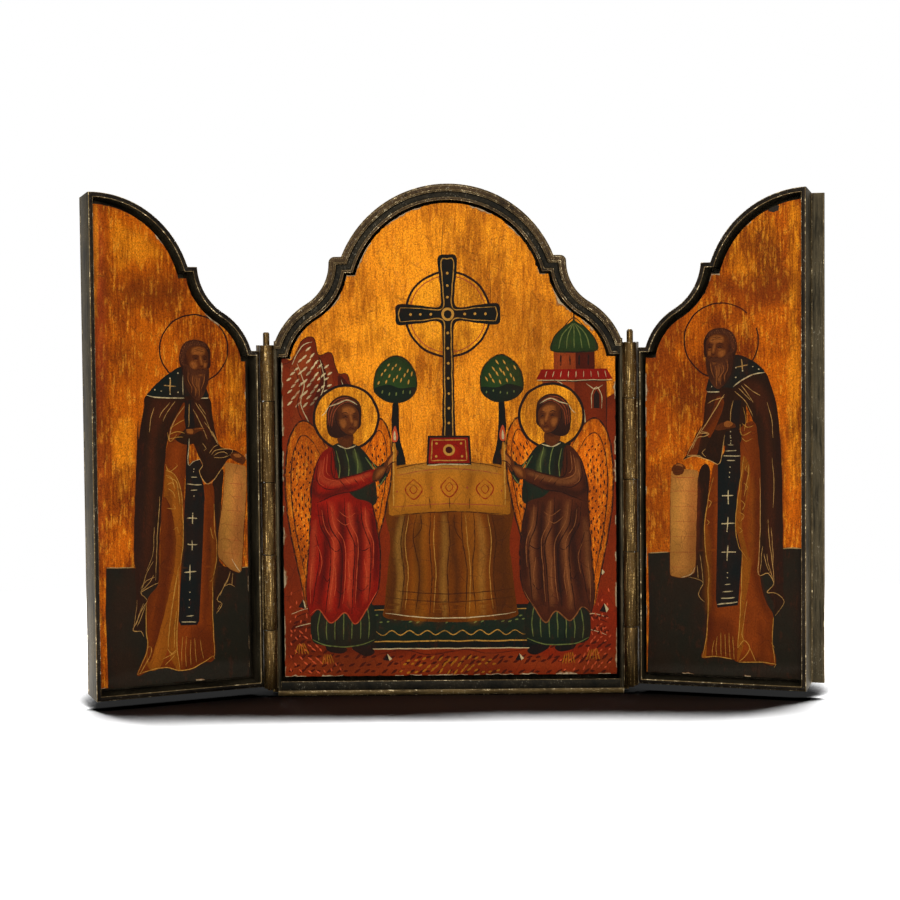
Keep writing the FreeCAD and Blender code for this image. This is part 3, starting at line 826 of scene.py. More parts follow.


# Pictures, in millimetres on each painted face
# Hills, chapel, trees, cross and altar
# brighter parts of the gold, painted glints of the gold leaf, and darker parts
ALTAR_SCENE = """
# brighter and darker parts of the gold
glaze bright .3 -20 128 -8 139 10 140 22 130 14 120 -10 118 ; .25 -30 108 -18 116 -12 100 -22 92 -32 98
glaze umber .2 8 112 26 118 34 108 24 96 12 98
glaze bright .3 -22 116 -10 118 -6 108 -12 98 -24 104 ; .25 10 96 26 100 24 84 10 82
line ink .18 -1.2 139 -1.6 130 -1.4 121
line umber .16 12.2 126 12.6 120 12.4 112
# hills on the left
fill earth -52 96 -46 99 -43 104.5 -39.5 105.5 -38 100.4 -34.4 101 -32.4 95 -29.6 94.6 -27.6 88 -23.4 84
-21 76 -16 71 -12 64 -12 40 -52 40
fill earth_light -46.6 96 -43.4 101 -40.6 102 -40.4 97 -44 93 / -38.6 96.6 -35.4 97.4 -34 92 -37 90
fill earth_deep -38 100 -37.4 94 -39.6 86 -37 80 -35.6 88 -35.8 95 / -32.4 94 -31.6 86 -28 80 -25.6 82
-27.6 88 -29.6 92
dabs cream 1.5 2.2 28 -47.6 94 -42.6 102.6 -39.4 103.4 -39 97 -35 98 -33.4 91 -38 86 -47.6 85
; 1.4 2.2 24 -31 93 -28.6 90 -24 83 -22 77 -27 74 -33 80
shade earth_deep .7 2.4 -41 96 -39.6 88 -41 80 -38 72 -42 64
shade earth_light .6 2 -45.6 94 -44 86 -45.4 78 -43 70
shade earth_deep .6 2 -33.6 88 -31 80 -31.6 73
shade earth_light .55 1.8 -29 90 -26.4 82 -24 76
line cream .26 -44.4 98 -42.4 92 -43.4 86 -41 79 -43.4 71 -42 66 ; .24 -37.6 99 -36.4 92 -38 86 -35.4 79
-36.4 73 / -31.6 93 -29.4 86 -30.6 80 -27.4 75
line earth_deep .4 -45.4 97 -43.4 91 -44.4 85 -42 78 -44.4 70 ; .36 -38.4 98.6 -37.4 91 -39 85 -36.4 78
/ -32.4 92.4 -30.4 85 -31.6 79 -28.4 73
line ink .25 -49 97.6 -46 99 -43 104.5 -39.5 105.5 -38 100.4 -34.4 101 -32.4 95 -29.6 94.6 -27.6 88
-23.4 84 -21 76 -16 71
line cream .25 -46 97.6 -43 103 -40 104.2
# hills on the right behind the chapel
fill earth 52 84 46 87 40 83 33 84.6 27 78 21 77 16 70 12 64 12 40 52 40
fill earth_light 27 77 22 76 18 70 24 68 30 73
dabs cream 1.4 2.2 150 17 69 22 75.6 27 77 31 74 27 67 18 66
line ink .25 33 84.6 27 78 21 77 16 70
# chapel
face earth_light 27.6 72 27.6 93 46.4 93 46.4 72
face earth 37 72 37 93 46.4 93 46.4 72
face red 25.8 92.6 27.4 95.6 46.6 95.6 48.2 92.6
line cream .3 26 92.4 36 92.2 48 92.4
line ink .3 25.8 92.2 36 92 48.2 92.2
comb cream .22 9 28.4 93.2 29 95 46.4 93.2 46 95
face earth_light 31 95.6 31 101 43 101 43 95.6
face earth_deep 37.4 95.6 37.4 101 43 101 43 95.6
comb ink .5 4 33 96.6 33 99.8 41.2 96.6 41.2 99.8
fill leaf 30.2 101 31 104.6 34 108 36.6 109.8 37 111 37.4 109.8 40 108 43 104.6 43.8 101 37 100.4
comb green_light .3 5 32.4 101.6 33.4 105.4 36.6 109 41.6 101.6 40.6 105.4 37.4 109
line ink .35 30 101 37 100.5 44 101 ; .3 30.2 101 31 104.6 34 108 37 110.6 40 108 43 104.6 43.8 101
; .5 37 110 37 115.4 ; .45 35 113.4 39 113.4
face ink 34.6 72 34.6 82 35.6 84.6 37 85.8 38.4 84.6 39.4 82 39.4 72
line cream .3 34 72 34 82.2 35.2 85.2 37 86.6 38.8 85.2 40 82.2 40 72
face ink 29.6 84 29.6 88 30.5 89.4 31.4 88 31.4 84 / 42.6 84 42.6 88 43.5 89.4 44.4 88 44.4 84
line cream .25 29 84 29 88 30.5 90.2 32 88 32 84 / 42 84 42 88 43.5 90.2 45 88 45 84 / 28.6 91 31 89.6
33.4 91.2 32 92 / 45.4 91 43 89.6 40.6 91.2
line ink .3 27.6 72 27.6 92.4 / 46.4 72 46.4 92.4
# trees
fill green_deep -16.4 86 -14.8 86 -14.4 76 -12.8 68 -15.6 68 -16.8 76
fill leaf -22 90 -21.4 95 -18.6 98.6 -15.4 100 -12 98.4 -9.6 94.6 -9.4 90 -11.6 87 -15.4 86 -19.6 87.2
fill green -22 90 -18 91.4 -14 90.4 -9.4 90.4 -11.6 87 -15.4 86 -19.6 87.2
dabs ochre 1.2 2.1 70 -21 91.4 -20 95 -17.4 98 -14 98.4 -11 95.6 -10.2 91.4
dabs green_light 1 2 75 -20 88 -20 90.6 -11 90.6 -11.4 88
line ink .4 -22 90 -21.4 95 -18.6 98.6 -15.4 100 -12 98.4 -9.6 94.6 -9.4 90
fill green_deep 14.8 86 16.4 86 16.8 76 15.6 68 12.8 68 14.4 76
fill leaf 22 90 21.4 95 18.6 98.6 15.4 100 12 98.4 9.6 94.6 9.4 90 11.6 87 15.4 86 19.6 87.2
fill green 22 90 18 91.4 14 90.4 9.4 90.4 11.6 87 15.4 86 19.6 87.2
dabs ochre 1.2 2.1 105 21 91.4 20 95 17.4 98 14 98.4 11 95.6 10.2 91.4
dabs green_light 1 2 100 20 88 20 90.6 11 90.6 11.4 88
line ink .4 22 90 21.4 95 18.6 98.6 15.4 100 12 98.4 9.6 94.6 9.4 90
# ground
fill earth -52 62 -40 60 -30 58 -20 60 -10 58 0 59 10 58 22 60 34 58 44 60 52 61 52 2 -52 2
glaze earth_deep .45 -46 22 -20 26 -4 18 -24 8 -46 8
glaze red .3 24 26 46 30 48 12 30 8
glaze earth_deep .4 -10 56 12 56 14 40 -12 40
line cream .24 -47 24 -42 25.6 -38 24.4 -34 26 -30 24.6 ; .22 -46 20 -40 21.4 -36 20
line earth_deep .36 -47 22.6 -42 24.2 -38 23 -34 24.8
line cream .24 46.6 22 42 23.4 38 22 34 23.6 31 22.2 ; .22 46 17 41 18.6 36 17.2
line earth_deep .36 46.6 20.6 42 22 38 20.6 34 22.2 / -23 11.4 -14 13 -6 11.6 4 13 12 11.8 22 13
glaze earth_light .5 -46 10 -30 12 -10 10 8 12 30 10 46 12 44 7 10 8 -20 6 -46 7
dabs earth_deep 1.9 2.7 25 -47.6 5.4 -47.6 24 -36 24 -30 13 30 13 36 24 47.6 24 47.6 5.4
dabs linen 1.5 2.2 38 -15 5.6 -13 10.6 -4 11.4 6 11.2 15 10 16 5.6
dabs red_light 1.2 2.4 128 -47.6 6 -47.6 20 -44 21 -38 13 -31 8 -33 6 ; 1.2 2.4 52 47.6 6 47.6 20 44 21
38 13 31 8 33 6 ; 1.1 2.6 80 -47.6 16 -47.6 30 -42 30 -38 16 ; 1.1 2.6 100 47.6 16 47.6 30 42 30 38 16
# cross behind the altar
face halo -1 60 -1 61 1 61 1 60
disc halo 0 112 12.4 12.4
ring ink .7 0 112 12.4
ring rust .3 0 112 11.2
fill green_deep -1.7 68 -1.7 92 -1.6 104 -2.4 109.7 -8 109.4 -14.6 109 -15.4 112 -14.6 115 -8 114.6
-2.4 114.3 -2.2 120 -2.8 128.4 0 129.4 2.8 128.4 2.2 120 2.4 114.3 8 114.6 14.6 115 15.4 112 14.6 109
8 109.4 2.4 109.7 1.6 104 1.7 92 1.7 68
line ochre .3 -1.2 69 -1.1 92 -1 104 -1.6 110.4 -8 110.2 -14 110 / 1.2 69 1.1 92 1 104 1.6 110.4 8 110.2
14 110 / -14 114 -8 113.8 -1.6 113.6 -1.4 120 -1.8 127.6 0 128.2 1.8 127.6 1.4 120 1.6 113.6 8 113.8
14 114 / -14 110 -14.5 112 -14 114 / 14 110 14.5 112 14 114
disc ochre 0 112 1.9 1.9
disc green_deep 0 112 1.2 1.2
dots ochre .42 -5 112 -8 112 -11 112 5 112 8 112 11 112 0 117 0 120.4 0 124 0 106.4 0 102 0 97.6 0 93.2
0 88.8 0 84.4 0 80
# step under the altar
face green_deep -26 26.4 26 26.4 29 13.4 -29 13.4
face green -24.6 25 24.6 25 27 15.4 -27 15.4
line ochre .4 -24.6 25 24.6 25 / -27 15.6 27 15.6 ; .35 -24.6 25 -27 15.6 / 24.6 25 27 15.6
; .3 -25 17.6 -22.6 18.8 -20 17.4 -17.4 18.8 -14.8 17.4 -12.2 18.8 -9.6 17.4 -7 18.8 -4.4 17.4 -1.8 18.8
.8 17.4 3.4 18.8 6 17.4 8.6 18.8 11.2 17.4 13.8 18.8 16.4 17.4 19 18.8 21.6 17.4 24.6 18.6
dabs green_light 1.1 2.1 20 -23 20.6 -22.4 24 22.4 24 23 20.6
line cream .3 -29 13.4 29 13.4
# altar
fill olive -16.6 60 -17.6 44 -19.4 27 -19.2 22.6 -10 21.6 0 21.2 10 21.6 19.2 22.6 19.4 27 17.6 44
16.6 60
glaze olive_deep .7 -16 56 -17 40 -18.6 24 -14 23 -12.6 40 -12 56 / 11 56 12 40 13.4 23 18.4 24 17 40
16 56 ; .45 -3 54 -4.4 40 -5 22 -1 22 0 40 0 54
glaze linen .3 -9.6 54 -10.6 40 -11.4 23 -7.4 23 -7 40 -6.6 54 / 4 54 4.6 40 4.6 23 9 23 8.6 40 7.4 54
shade olive_deep .7 2 -8.6 53 -9.6 44 -8.8 34 -9.8 23.4 / 1.6 53 1 44 2 34 1.4 23
shade ochre .4 1.8 -14 53 -15.2 44 -14.6 34 -15.8 24 ; .35 1.8 -1.6 53 -1.4 44 -2 34 -1.6 23 / 8.4 53
9.6 44 9.2 34 9.8 23.6
line olive_deep .34 -13 53.4 -14.4 45 -13.6 35 -14.8 24.4 / -9.6 53.6 -10.8 46 -9 36 -10.4 23.8
/ -5.6 53.8 -6 45 -5.4 35 -6.2 23.2 / -.6 53.9 0 45 -.8 36 -.2 22.8 / 3.4 53.8 3.8 45 5 36 4.4 23
/ 7 53.7 7.4 46 6.6 36 7.6 23.4 / 12.4 53.4 13.6 45 12.8 35 14 24.2 ; .28 -10.8 46 -8.4 49 -8.6 53
/ 3.8 45 1.6 48.6 1.4 53
line ochre .2 -12 53 -13.2 45 -12.4 36 -13.4 25 / -4.4 53 -4.8 45 -4.2 36 -5 24 / 4.6 53 5.2 45 6 36
5.6 24 / 11.2 53 12.2 45 11.6 36 12.6 25
line cream .3 -19.3 24 -10 22.8 0 22.4 10 22.8 19.3 24
line olive_deep .3 -18.6 31 -9 30 0 29.6 9 30 18.6 31 / -18.8 28.6 -9 27.6 0 27.2 9 27.6 18.8 28.6
fill linen -17.4 66.4 -8 68.2 0 68.8 8 68.2 17.4 66.4 17.9 56 16.8 52.8 8 53.6 0 53.9 -8 53.6 -16.8 52.8
-17.9 56
shade ochre .45 2.6 -15 65.6 -6 67.2 4 67.4 14 65.8
shade olive .5 2.4 -17 57 -17.2 62 -16.6 66 / 17 57 17.2 62 16.6 66 ; .45 2 -6.4 66 -5.6 60 -5.4 54.6
/ 6.6 66 5.8 60 5.6 54.6
line olive_deep .35 -16.8 52.8 -8 53.6 0 53.9 8 53.6 16.8 52.8 ; .3 -17.4 66.4 -8 68.2 0 68.8 8 68.2
17.4 66.4
line rust .3 -17 55.4 -8 56 0 56.3 8 56 17 55.4 ; .25 -17.4 64.4 -8 66 0 66.6 8 66 17.4 64.4
line red .4 -10.5 63.6 -8 60.6 -10.5 57.6 -13 60.6 -10.5 63.6 ; .3 -10.5 62 -9.4 60.6 -10.5 59.2
-11.6 60.6 -10.5 62 ; .4 0 64.2 2.5 61.2 0 58.2 -2.5 61.2 0 64.2 ; .3 0 62.6 1.1 61.2 0 59.8 -1.1 61.2
0 62.6 ; .4 10.5 63.6 13 60.6 10.5 57.6 8 60.6 10.5 63.6 ; .3 10.5 62 11.6 60.6 10.5 59.2 9.4 60.6
10.5 62
dots rust .35 -5.2 61 5.2 61 -15.4 60 15.4 60
comb olive_deep .25 3 -6 58 -5.6 54.6 6 58 5.8 54.6
# book on the altar
face ink -6.6 67.6 -6.2 76.4 6.2 76.4 6.6 67.6
face red -6 68.2 -5.6 75.8 5.6 75.8 6 68.2
line ochre .35 -5.2 69 -4.9 75.1 / -4.9 75.1 4.9 75.1 / 4.9 75.1 5.2 69 / 5.2 69 -5.2 69
disc ochre 0 72.1 1.7 1.7
disc red_deep 0 72.1 1 1
dots ochre .4 -3.8 70.2 3.8 70.2 -3.6 74 3.6 74
line cream .35 -6.4 67.7 0 67.9 6.4 67.7
# plants and stones on the ground
comb linen .3 5 -46 12 -45 15 -42 12 -43.4 15.4 / -38 9 -37.4 12 -34.6 9 -35.6 12 / 40 9.6 41 12.6
44 9.6 43 13 / 33 8.6 33.8 11.6 36.6 8.8 35.8 12
face ink -45 26 -43.6 28.4 -43 25.6
face cream -43 25.6 -43.6 28.4 -42.2 26.6
face ink 44 24 45.4 26.4 46 23.6
face cream 46 23.6 45.4 26.4 46.8 24.6
face ink 43 35 44.2 37.2 44.8 34.8
face cream 44.8 34.8 44.2 37.2 45.6 35.6
face ink -20 10 -18.8 12 -18.2 9.8
face cream -18.2 9.8 -18.8 12 -17.4 10.4
face ink 19 9.8 20.2 11.8 20.8 9.6
face cream 20.8 9.6 20.2 11.8 21.6 10.2
dabs earth_light 1.2 2.4 150 -46 40 -46 54 -43.4 54 -43 40 ; 1.2 2.4 30 43.4 42 43.4 54 47 54 47 42
"""
# A winged attendant that faces right, from its feet
WINGED_ATTENDANT = """
# wings behind the back
fill amber -4 57 -8 64.5 -12 66.5 -15.4 61 -16.6 50 -15.8 38 -13.6 26 -11 13 -9.4 20 -8.4 31 -6.4 43
dabs ink 1.1 1.9 80 -9 60 -14.6 60 -15.4 50 -14.6 38 -12.6 27 -10.4 24 -9.4 34 -7.6 46
line ink .5 -4 57 -8 64.5 -12 66.5 -15.4 61 -16.6 50 -15.8 38 -13.6 26 -11 13 ; .35 -5 54 -8.6 60.5
-11.6 62.4 -14 58 -15 49 -14.2 38 -12.4 28 -10.8 20 ; .3 -11 13 -9.4 20 -8.4 31 -6.4 43
fill amber 4 57 7.4 64 10.6 67 13.4 62.5 13.8 52 12.2 42 10 33 9.2 27 8.4 36 6.8 46
dabs ink 1.1 1.9 95 7.8 61 12.6 60 12.6 52 11 43 9.4 38 8 48
line ink .5 4 57 7.4 64 10.6 67 13.4 62.5 13.8 52 12.2 42 10 33 9.2 27 ; .3 6 56 8.4 61.4 10.6 63.6
12.2 60 12.4 52 11 43 9.4 36
# halo
disc halo 1 67.4 9.2 9.2
ring ink .75 1 67.4 9.2
# tunic below the mantle, and feet
fill ink -5.6 3 -1.8 2.4 .6 .8 -1.4 -.4 -5 .6 / 2.6 3 6 2.2 8.4 0 6 -1.2 2.2 .8
fill t0 -8.6 13 -9.6 4 -6 2 -1 1.4 4 1.8 8.6 3.4 7.8 14 0 16
comb t1 .3 7 -7 12 -7.8 7 -7.6 3.4 6.4 13 7 8 6.6 4
line t1 .3 -9.4 3.8 -6 2.2 -1 1.6 4 2 8.4 3.6
line t2 .35 -2 13 -2.6 7 -2.2 2.4
# torso and the far arm
fill t0 -6 56 -3 59.4 1 60.4 5 58.8 8 54.6 9.4 47 8 42 -6 42
shade t2 .8 1.6 -1 58 -.4 52 0 47
shade t1 .35 1.2 3 58 4.6 53 4.6 48
fill t0 5.6 57.6 9 53 10.6 48 12.4 50.4 13.4 52.6 11.6 54.6 9.8 53.4
line t1 .35 6.4 56 8.8 52.4 10.4 49.4 ; .3 8.4 54.6 10 52 11.4 51.4 / 9.4 47.6 10.6 48.2 12.2 50.6
/ .4 59 1.6 54 1.4 48 / 3.2 58.6 4.2 54 3.8 49 ; .28 -2 58 -1 53 -1.6 48
line cream .35 -1.6 59.6 1 58.6 3.8 59.4
fill skin 12.4 51.4 14 53.6 15.8 57.2 15 58 13.2 56.4 11.6 54
fill skin_light 13 53 14.6 55.6 15.4 57.4 14.2 56.6 12.8 54.6
# mantle
fill m0 -6.4 56.8 -8.6 50 -9.4 40 -10.2 28 -11 17 -10 10.6 -7.4 12.4 -4 8.4 0 11.4 3 8 6.4 12.6 9.6 18
10.2 28 9.4 36 8 42.6 3.4 44.4 -.6 48.6 -2 53 -3 58.8
shade m2 .85 2.4 -6.2 42 -5 33 -6 23 -7.4 14 ; .85 2.2 -1 43 -.4 33 -1 22 -1.6 13 / 3.6 42 4.4 32 4 22
3.6 13 ; .75 2 8 40 9 31 8.8 21
shade m1 .5 1.6 -3.6 43 -2.6 33 -3.4 22 -4.4 12 / 1.4 43 2.2 33 1.6 22 1.2 13 ; .5 1.5 6 41 6.8 32
6.6 22 6.2 15 ; .45 1.4 -8.4 38 -9 28 -9.6 18
line m2 .36 -7.4 42.6 -6.6 36 -4 30.6 -4.2 22 -5.6 11.4 / -4.8 43.4 -4 36.4 -.8 30 -.8 21 -1.8 12.4
/ .2 44.4 .6 37 3 31 2.6 22 2 11 / 5 43.4 5.4 36.6 7.6 30.4 7.4 22 6.8 14.6 ; .3 -4 30.6 -2.4 29 -.8 30
/ 3 31 5.2 29.2 7.6 30.4 / -8.2 34 -7 28 -8.2 20 -9.4 13 ; .26 -6 22 -5 20.4 -4.2 21.6 / -2.4 18 -1 16.8
.4 18.4 / 3.2 19 5 17.6 6.8 19.4
line m1 .24 -6.2 41 -5.4 36 -3 31.4 -3.2 23 -4.4 14 / -3.6 42 -2.8 36.8 .2 31 .2 22 -.6 14 / 1.4 43
1.8 37.4 4 32 3.6 23 3 14 / 6.2 42 6.4 37 8.4 31.4 8.2 24 ; .2 -2.2 38.6 .4 36.6 2.6 38 / -1.4 40.6
1.2 38.8 3.4 40 / -7.6 31 -6.4 27 -7.2 22 / -9.2 26 -9.8 20 -9.8 14 / 5.6 27 6.4 22 5.8 18 / 1 27 1.4 22
.8 17 / -3 26 -2.4 21 -3 16 ; .34 -10 10.8 -7.4 12.4 -4 8.5 0 11.4 3 8.1 6.4 12.6 9.6 18
fill m0 -6.4 56.8 -8.8 51 -9.6 45.6 -7.6 43 -2 45.4 4 46.6 9.4 49.6 8.6 52.6 2 50.6 -2.6 50.4 -3.4 58
shade m2 .7 1.6 -8.2 50 -8.6 46.4 -6 45 -1 46.6 4 47.8
shade m1 .55 1.4 -6 55 -6.4 50.6 -4 48.6 0 49 4 50 8 51.4
line m2 .36 -7.6 43 -2 45.4 4 46.6 9.4 49.6 / -3.4 58 -2.8 50.4 2 50.6 8.6 52.6 ; .3 -7.2 54 -7.6 49.6
-5 47 -1.6 47.2 ; .26 -1 49.4 .6 47.6 / 3 50 4.4 48.2
line m1 .24 -5.2 56.2 -5.8 51.6 -4.4 49.8 -1.4 49.2 ; .22 -4.4 57 -4.8 52 -3.8 50.8 / .6 49.8 2 48.4
/ 4.8 50.6 6 49 ; .2 -6.6 52 -7 49 -5.4 47.8
line ink .42 -6.4 56.8 -8.8 50 -9.5 40 -10.3 28 -11.1 17 -10 10.6 / 9.4 49.6 8.2 46 8.2 42.6 9.5 36
10.3 28 9.6 18 6.4 12.6 ; .36 -3 58.8 -2.2 53 -2.6 50.2
fill skin 8.4 49.4 10.8 50 12.4 52.8 11.4 53.4 9 52.4
glaze skin_light .7 9.4 50.2 11.4 51.6 11.8 52.8 10 52
line ink .26 8.4 49.3 10.8 49.8 12.6 52.8
# candle
line linen 1.1 14.6 42 14.8 60
line ochre .4 14.3 42 14.5 60
fill red_light 14.2 60.4 14 62 14.9 65 15.8 62.2 15.4 60.4
fill cream 14.6 60.8 14.5 62 14.9 63.6 15.2 62 15.1 60.8
line skin_deep .35 12.6 53 14 54.4 15.4 54.6
# neck, hair and face
fill skin -1 63 2.6 63 3 60.2 1 58.6 -1.4 60.4
shade skin_deep .7 1 -.6 62.6 1 61.8 2.6 62.8
fill hair -3.8 62.4 -4.6 66 -4.2 70.2 -1.6 73.2 2 73.6 4.9 71.4 5.4 67.4 4.6 64.4 -1 61.6
glaze grey_hair .7 -3.6 66 -3.4 70 -1.2 72.4 1.8 72.8 4.2 71.2 1.6 71.6 -1 70.4 -2 67
fill skin -1.6 69.4 -.4 70.9 2 71.2 4.2 69.6 4.8 67.2 4.3 64.4 2.6 62.4 .7 62.9 -1 64.8 -1.8 67.2
shade skin_deep .75 1 -1.4 69.2 -1.5 66.8 -.4 64.2
glaze skin_light .7 0 70 1.6 70.5 3.4 69.6 3.2 68.5 1.2 68.4 0 69 / -.8 66.7 .6 66.8 1.1 65.6 .4 64.4
-.5 65.1 ; .55 3.3 66.6 4.2 66.5 4 64.9 3.3 64.8
shade skin_light .8 .6 2.1 68.4 2.4 67 2.7 65.9 ; .5 .6 1.8 63.5 2.5 63.3 3.2 63.6
shade skin_deep .7 .5 -.2 67.9 .7 68.1 1.5 67.8 / 2.9 67.8 3.5 68 4.2 67.7
line skin_deep .28 -.3 68.5 .7 68.9 1.7 68.4 ; .26 2.9 68.4 3.6 68.7 4.3 68.3
line ink .36 0 67.4 .8 67.7 1.5 67.3 ; .34 2.9 67.3 3.5 67.5 4.1 67.1
line skin_deep .26 2.2 65.4 2.8 65.2 3.1 65.6
line red_deep .32 1.7 64.3 2.4 64.5 3.1 64.2
line ink .3 -1.6 69.4 -1.9 67 -1 64.6 .7 62.8 2.6 62.3
line rust .2 -3.6 65 -3.2 69 -1.2 71.8 1.6 72.6 3.8 71.6 ; .18 -3 64.6 -2.6 68.6 -.8 71 1.6 71.9 3.4 71
/ -4.1 65.4 -3.8 69.6 -1.5 72.5 1.8 73.1
line cream .3 -3.9 70.6 -1.4 71.4 1.4 72.4 4.2 71 ; .24 -4 70.4 -5 68.8 -6 68
"""
# An elder's head that faces right, from its middle
ELDER_HEAD = """
# hair round the head
fill hair -4.8 -1.2 -5 1.6 -4.2 4.2 -2.2 5.8 .6 6.1 3.1 5.3 4.7 3.3 4.9 .6 4.2 -2.6 -3 -3.8
glaze grey_hair .9 -4.4 0 -4.4 2.4 -3.4 4.6 -1.2 5.6 1.4 5.6 3.6 4.4 2 4.2 -1.4 4 -3 2.4 -3.2 -1
dabs grey_hair .8 .85 60 -4.6 -1 -4.8 1.6 -4 4.2 -2 5.6 .6 5.9 3 5.1 4.4 3.4 2 4 -1 4.2 -3.2 2.4
-3.2 -1.6
dabs brown_light .3 .85 120 -4.5 -.6 -4.6 1.8 -3.8 4 -1.8 5.5 .6 5.7 2.8 5 3.6 4.4 1 4.7 -1.6 4.4
-3.6 2.6 -3.7 -1.2
# face
fill skin -2.9 1.8 -2.1 3.6 0 4.4 2.4 4.2 4 2.6 4.3 .4 3.9 -2.2 2.6 -4 .2 -4.3 -2 -3 -3 -.6
shade skin_deep .8 1.1 -2.8 1.6 -2.9 -.6 -1.9 -3 ; .55 .8 4 2.4 4.2 .2 3.8 -2
glaze skin_light .75 -.9 3.5 .9 4 2.9 3.4 2.8 1.9 .9 1.8 -.8 2.1 / -1.5 -.5 0 -.4 .6 -1.6 -.4 -2.5
-1.4 -1.8 ; .65 2.8 -.5 3.7 -.6 3.6 -1.9 2.9 -2
shade skin_light .8 .6 1.6 1.6 1.9 0 2.2 -1.2
shade skin_deep .8 .7 -.8 .9 .3 1.1 1.2 .7 ; .8 .6 2.4 .8 3.1 1 3.8 .5
line skin_deep .3 -1 1.3 .2 1.75 1.2 1.2 / 2.3 1.3 3.1 1.5 3.9 1
line ink .36 -.6 .35 .2 .6 1 .25 ; .34 2.5 .3 3.1 .5 3.7 .15
line skin_light .18 -.4 0 .3 -.1 .9 0 / 2.7 0 3.2 -.1 3.6 0
line skin_deep .2 -.8 2.6 1 3 2.8 2.5 ; .18 -.5 3.2 1 3.5 2.5 3.2 ; .28 1.3 -1.5 2.1 -1.8 2.6 -1.3
# beard
fill grey_hair -3.4 -.8 -3.9 -3.4 -3.5 -6.4 -2.4 -9 -.8 -10.9 .8 -11.8 2.4 -10.4 3.6 -8 4.3 -5 4.4 -2.2
3.4 -2.9 2.6 -2.6 1.6 -2.4 .4 -2.7 -.8 -2.5 -2 -1.6
shade hair .75 1.6 -3.2 -1.6 -3.4 -5 -2.2 -8.6 0 -11 ; .6 1.3 3.9 -2.8 3.6 -6 2.2 -9.4
shade skin_light .38 1.3 .2 -4.6 .4 -7 .6 -9.6
line skin_deep .26 .8 -3.5 1.8 -3.7 2.8 -3.4
shade skin_light .5 .5 1.1 -4.2 1.8 -4.4 2.4 -4.1
line hair .2 -2.6 -2.8 -2.8 -5.4 -1.8 -7.6 -1.9 -9.2 / -1.4 -3.4 -1.8 -5.8 -.6 -8 -.8 -10.4 / .2 -4.8
-.2 -7 .7 -8.8 .4 -11 / 2.2 -4.8 2 -6.8 1.4 -8.6 1.6 -10.6 / 3.3 -4 3.2 -6 2.4 -7.6 2.6 -9.4
line skin_light .16 -2.1 -3.2 -2.3 -5.6 -1.3 -7.8 -1.4 -9.6 / -.6 -4 -1 -6.4 0 -8.4 -.2 -10.6 / 1.4 -5
1.1 -7 1.2 -9 1 -11 / 2.9 -4 2.7 -6.4 1.9 -8.4
line hair .28 .2 -2.8 1 -2.4 1.6 -2.8 / 2 -2.8 2.6 -2.4 3.3 -2.9
"""
# Halo of the left wing
LEFT_HALO = """
ring ink .42 22 102.6 10.6 .93
"""
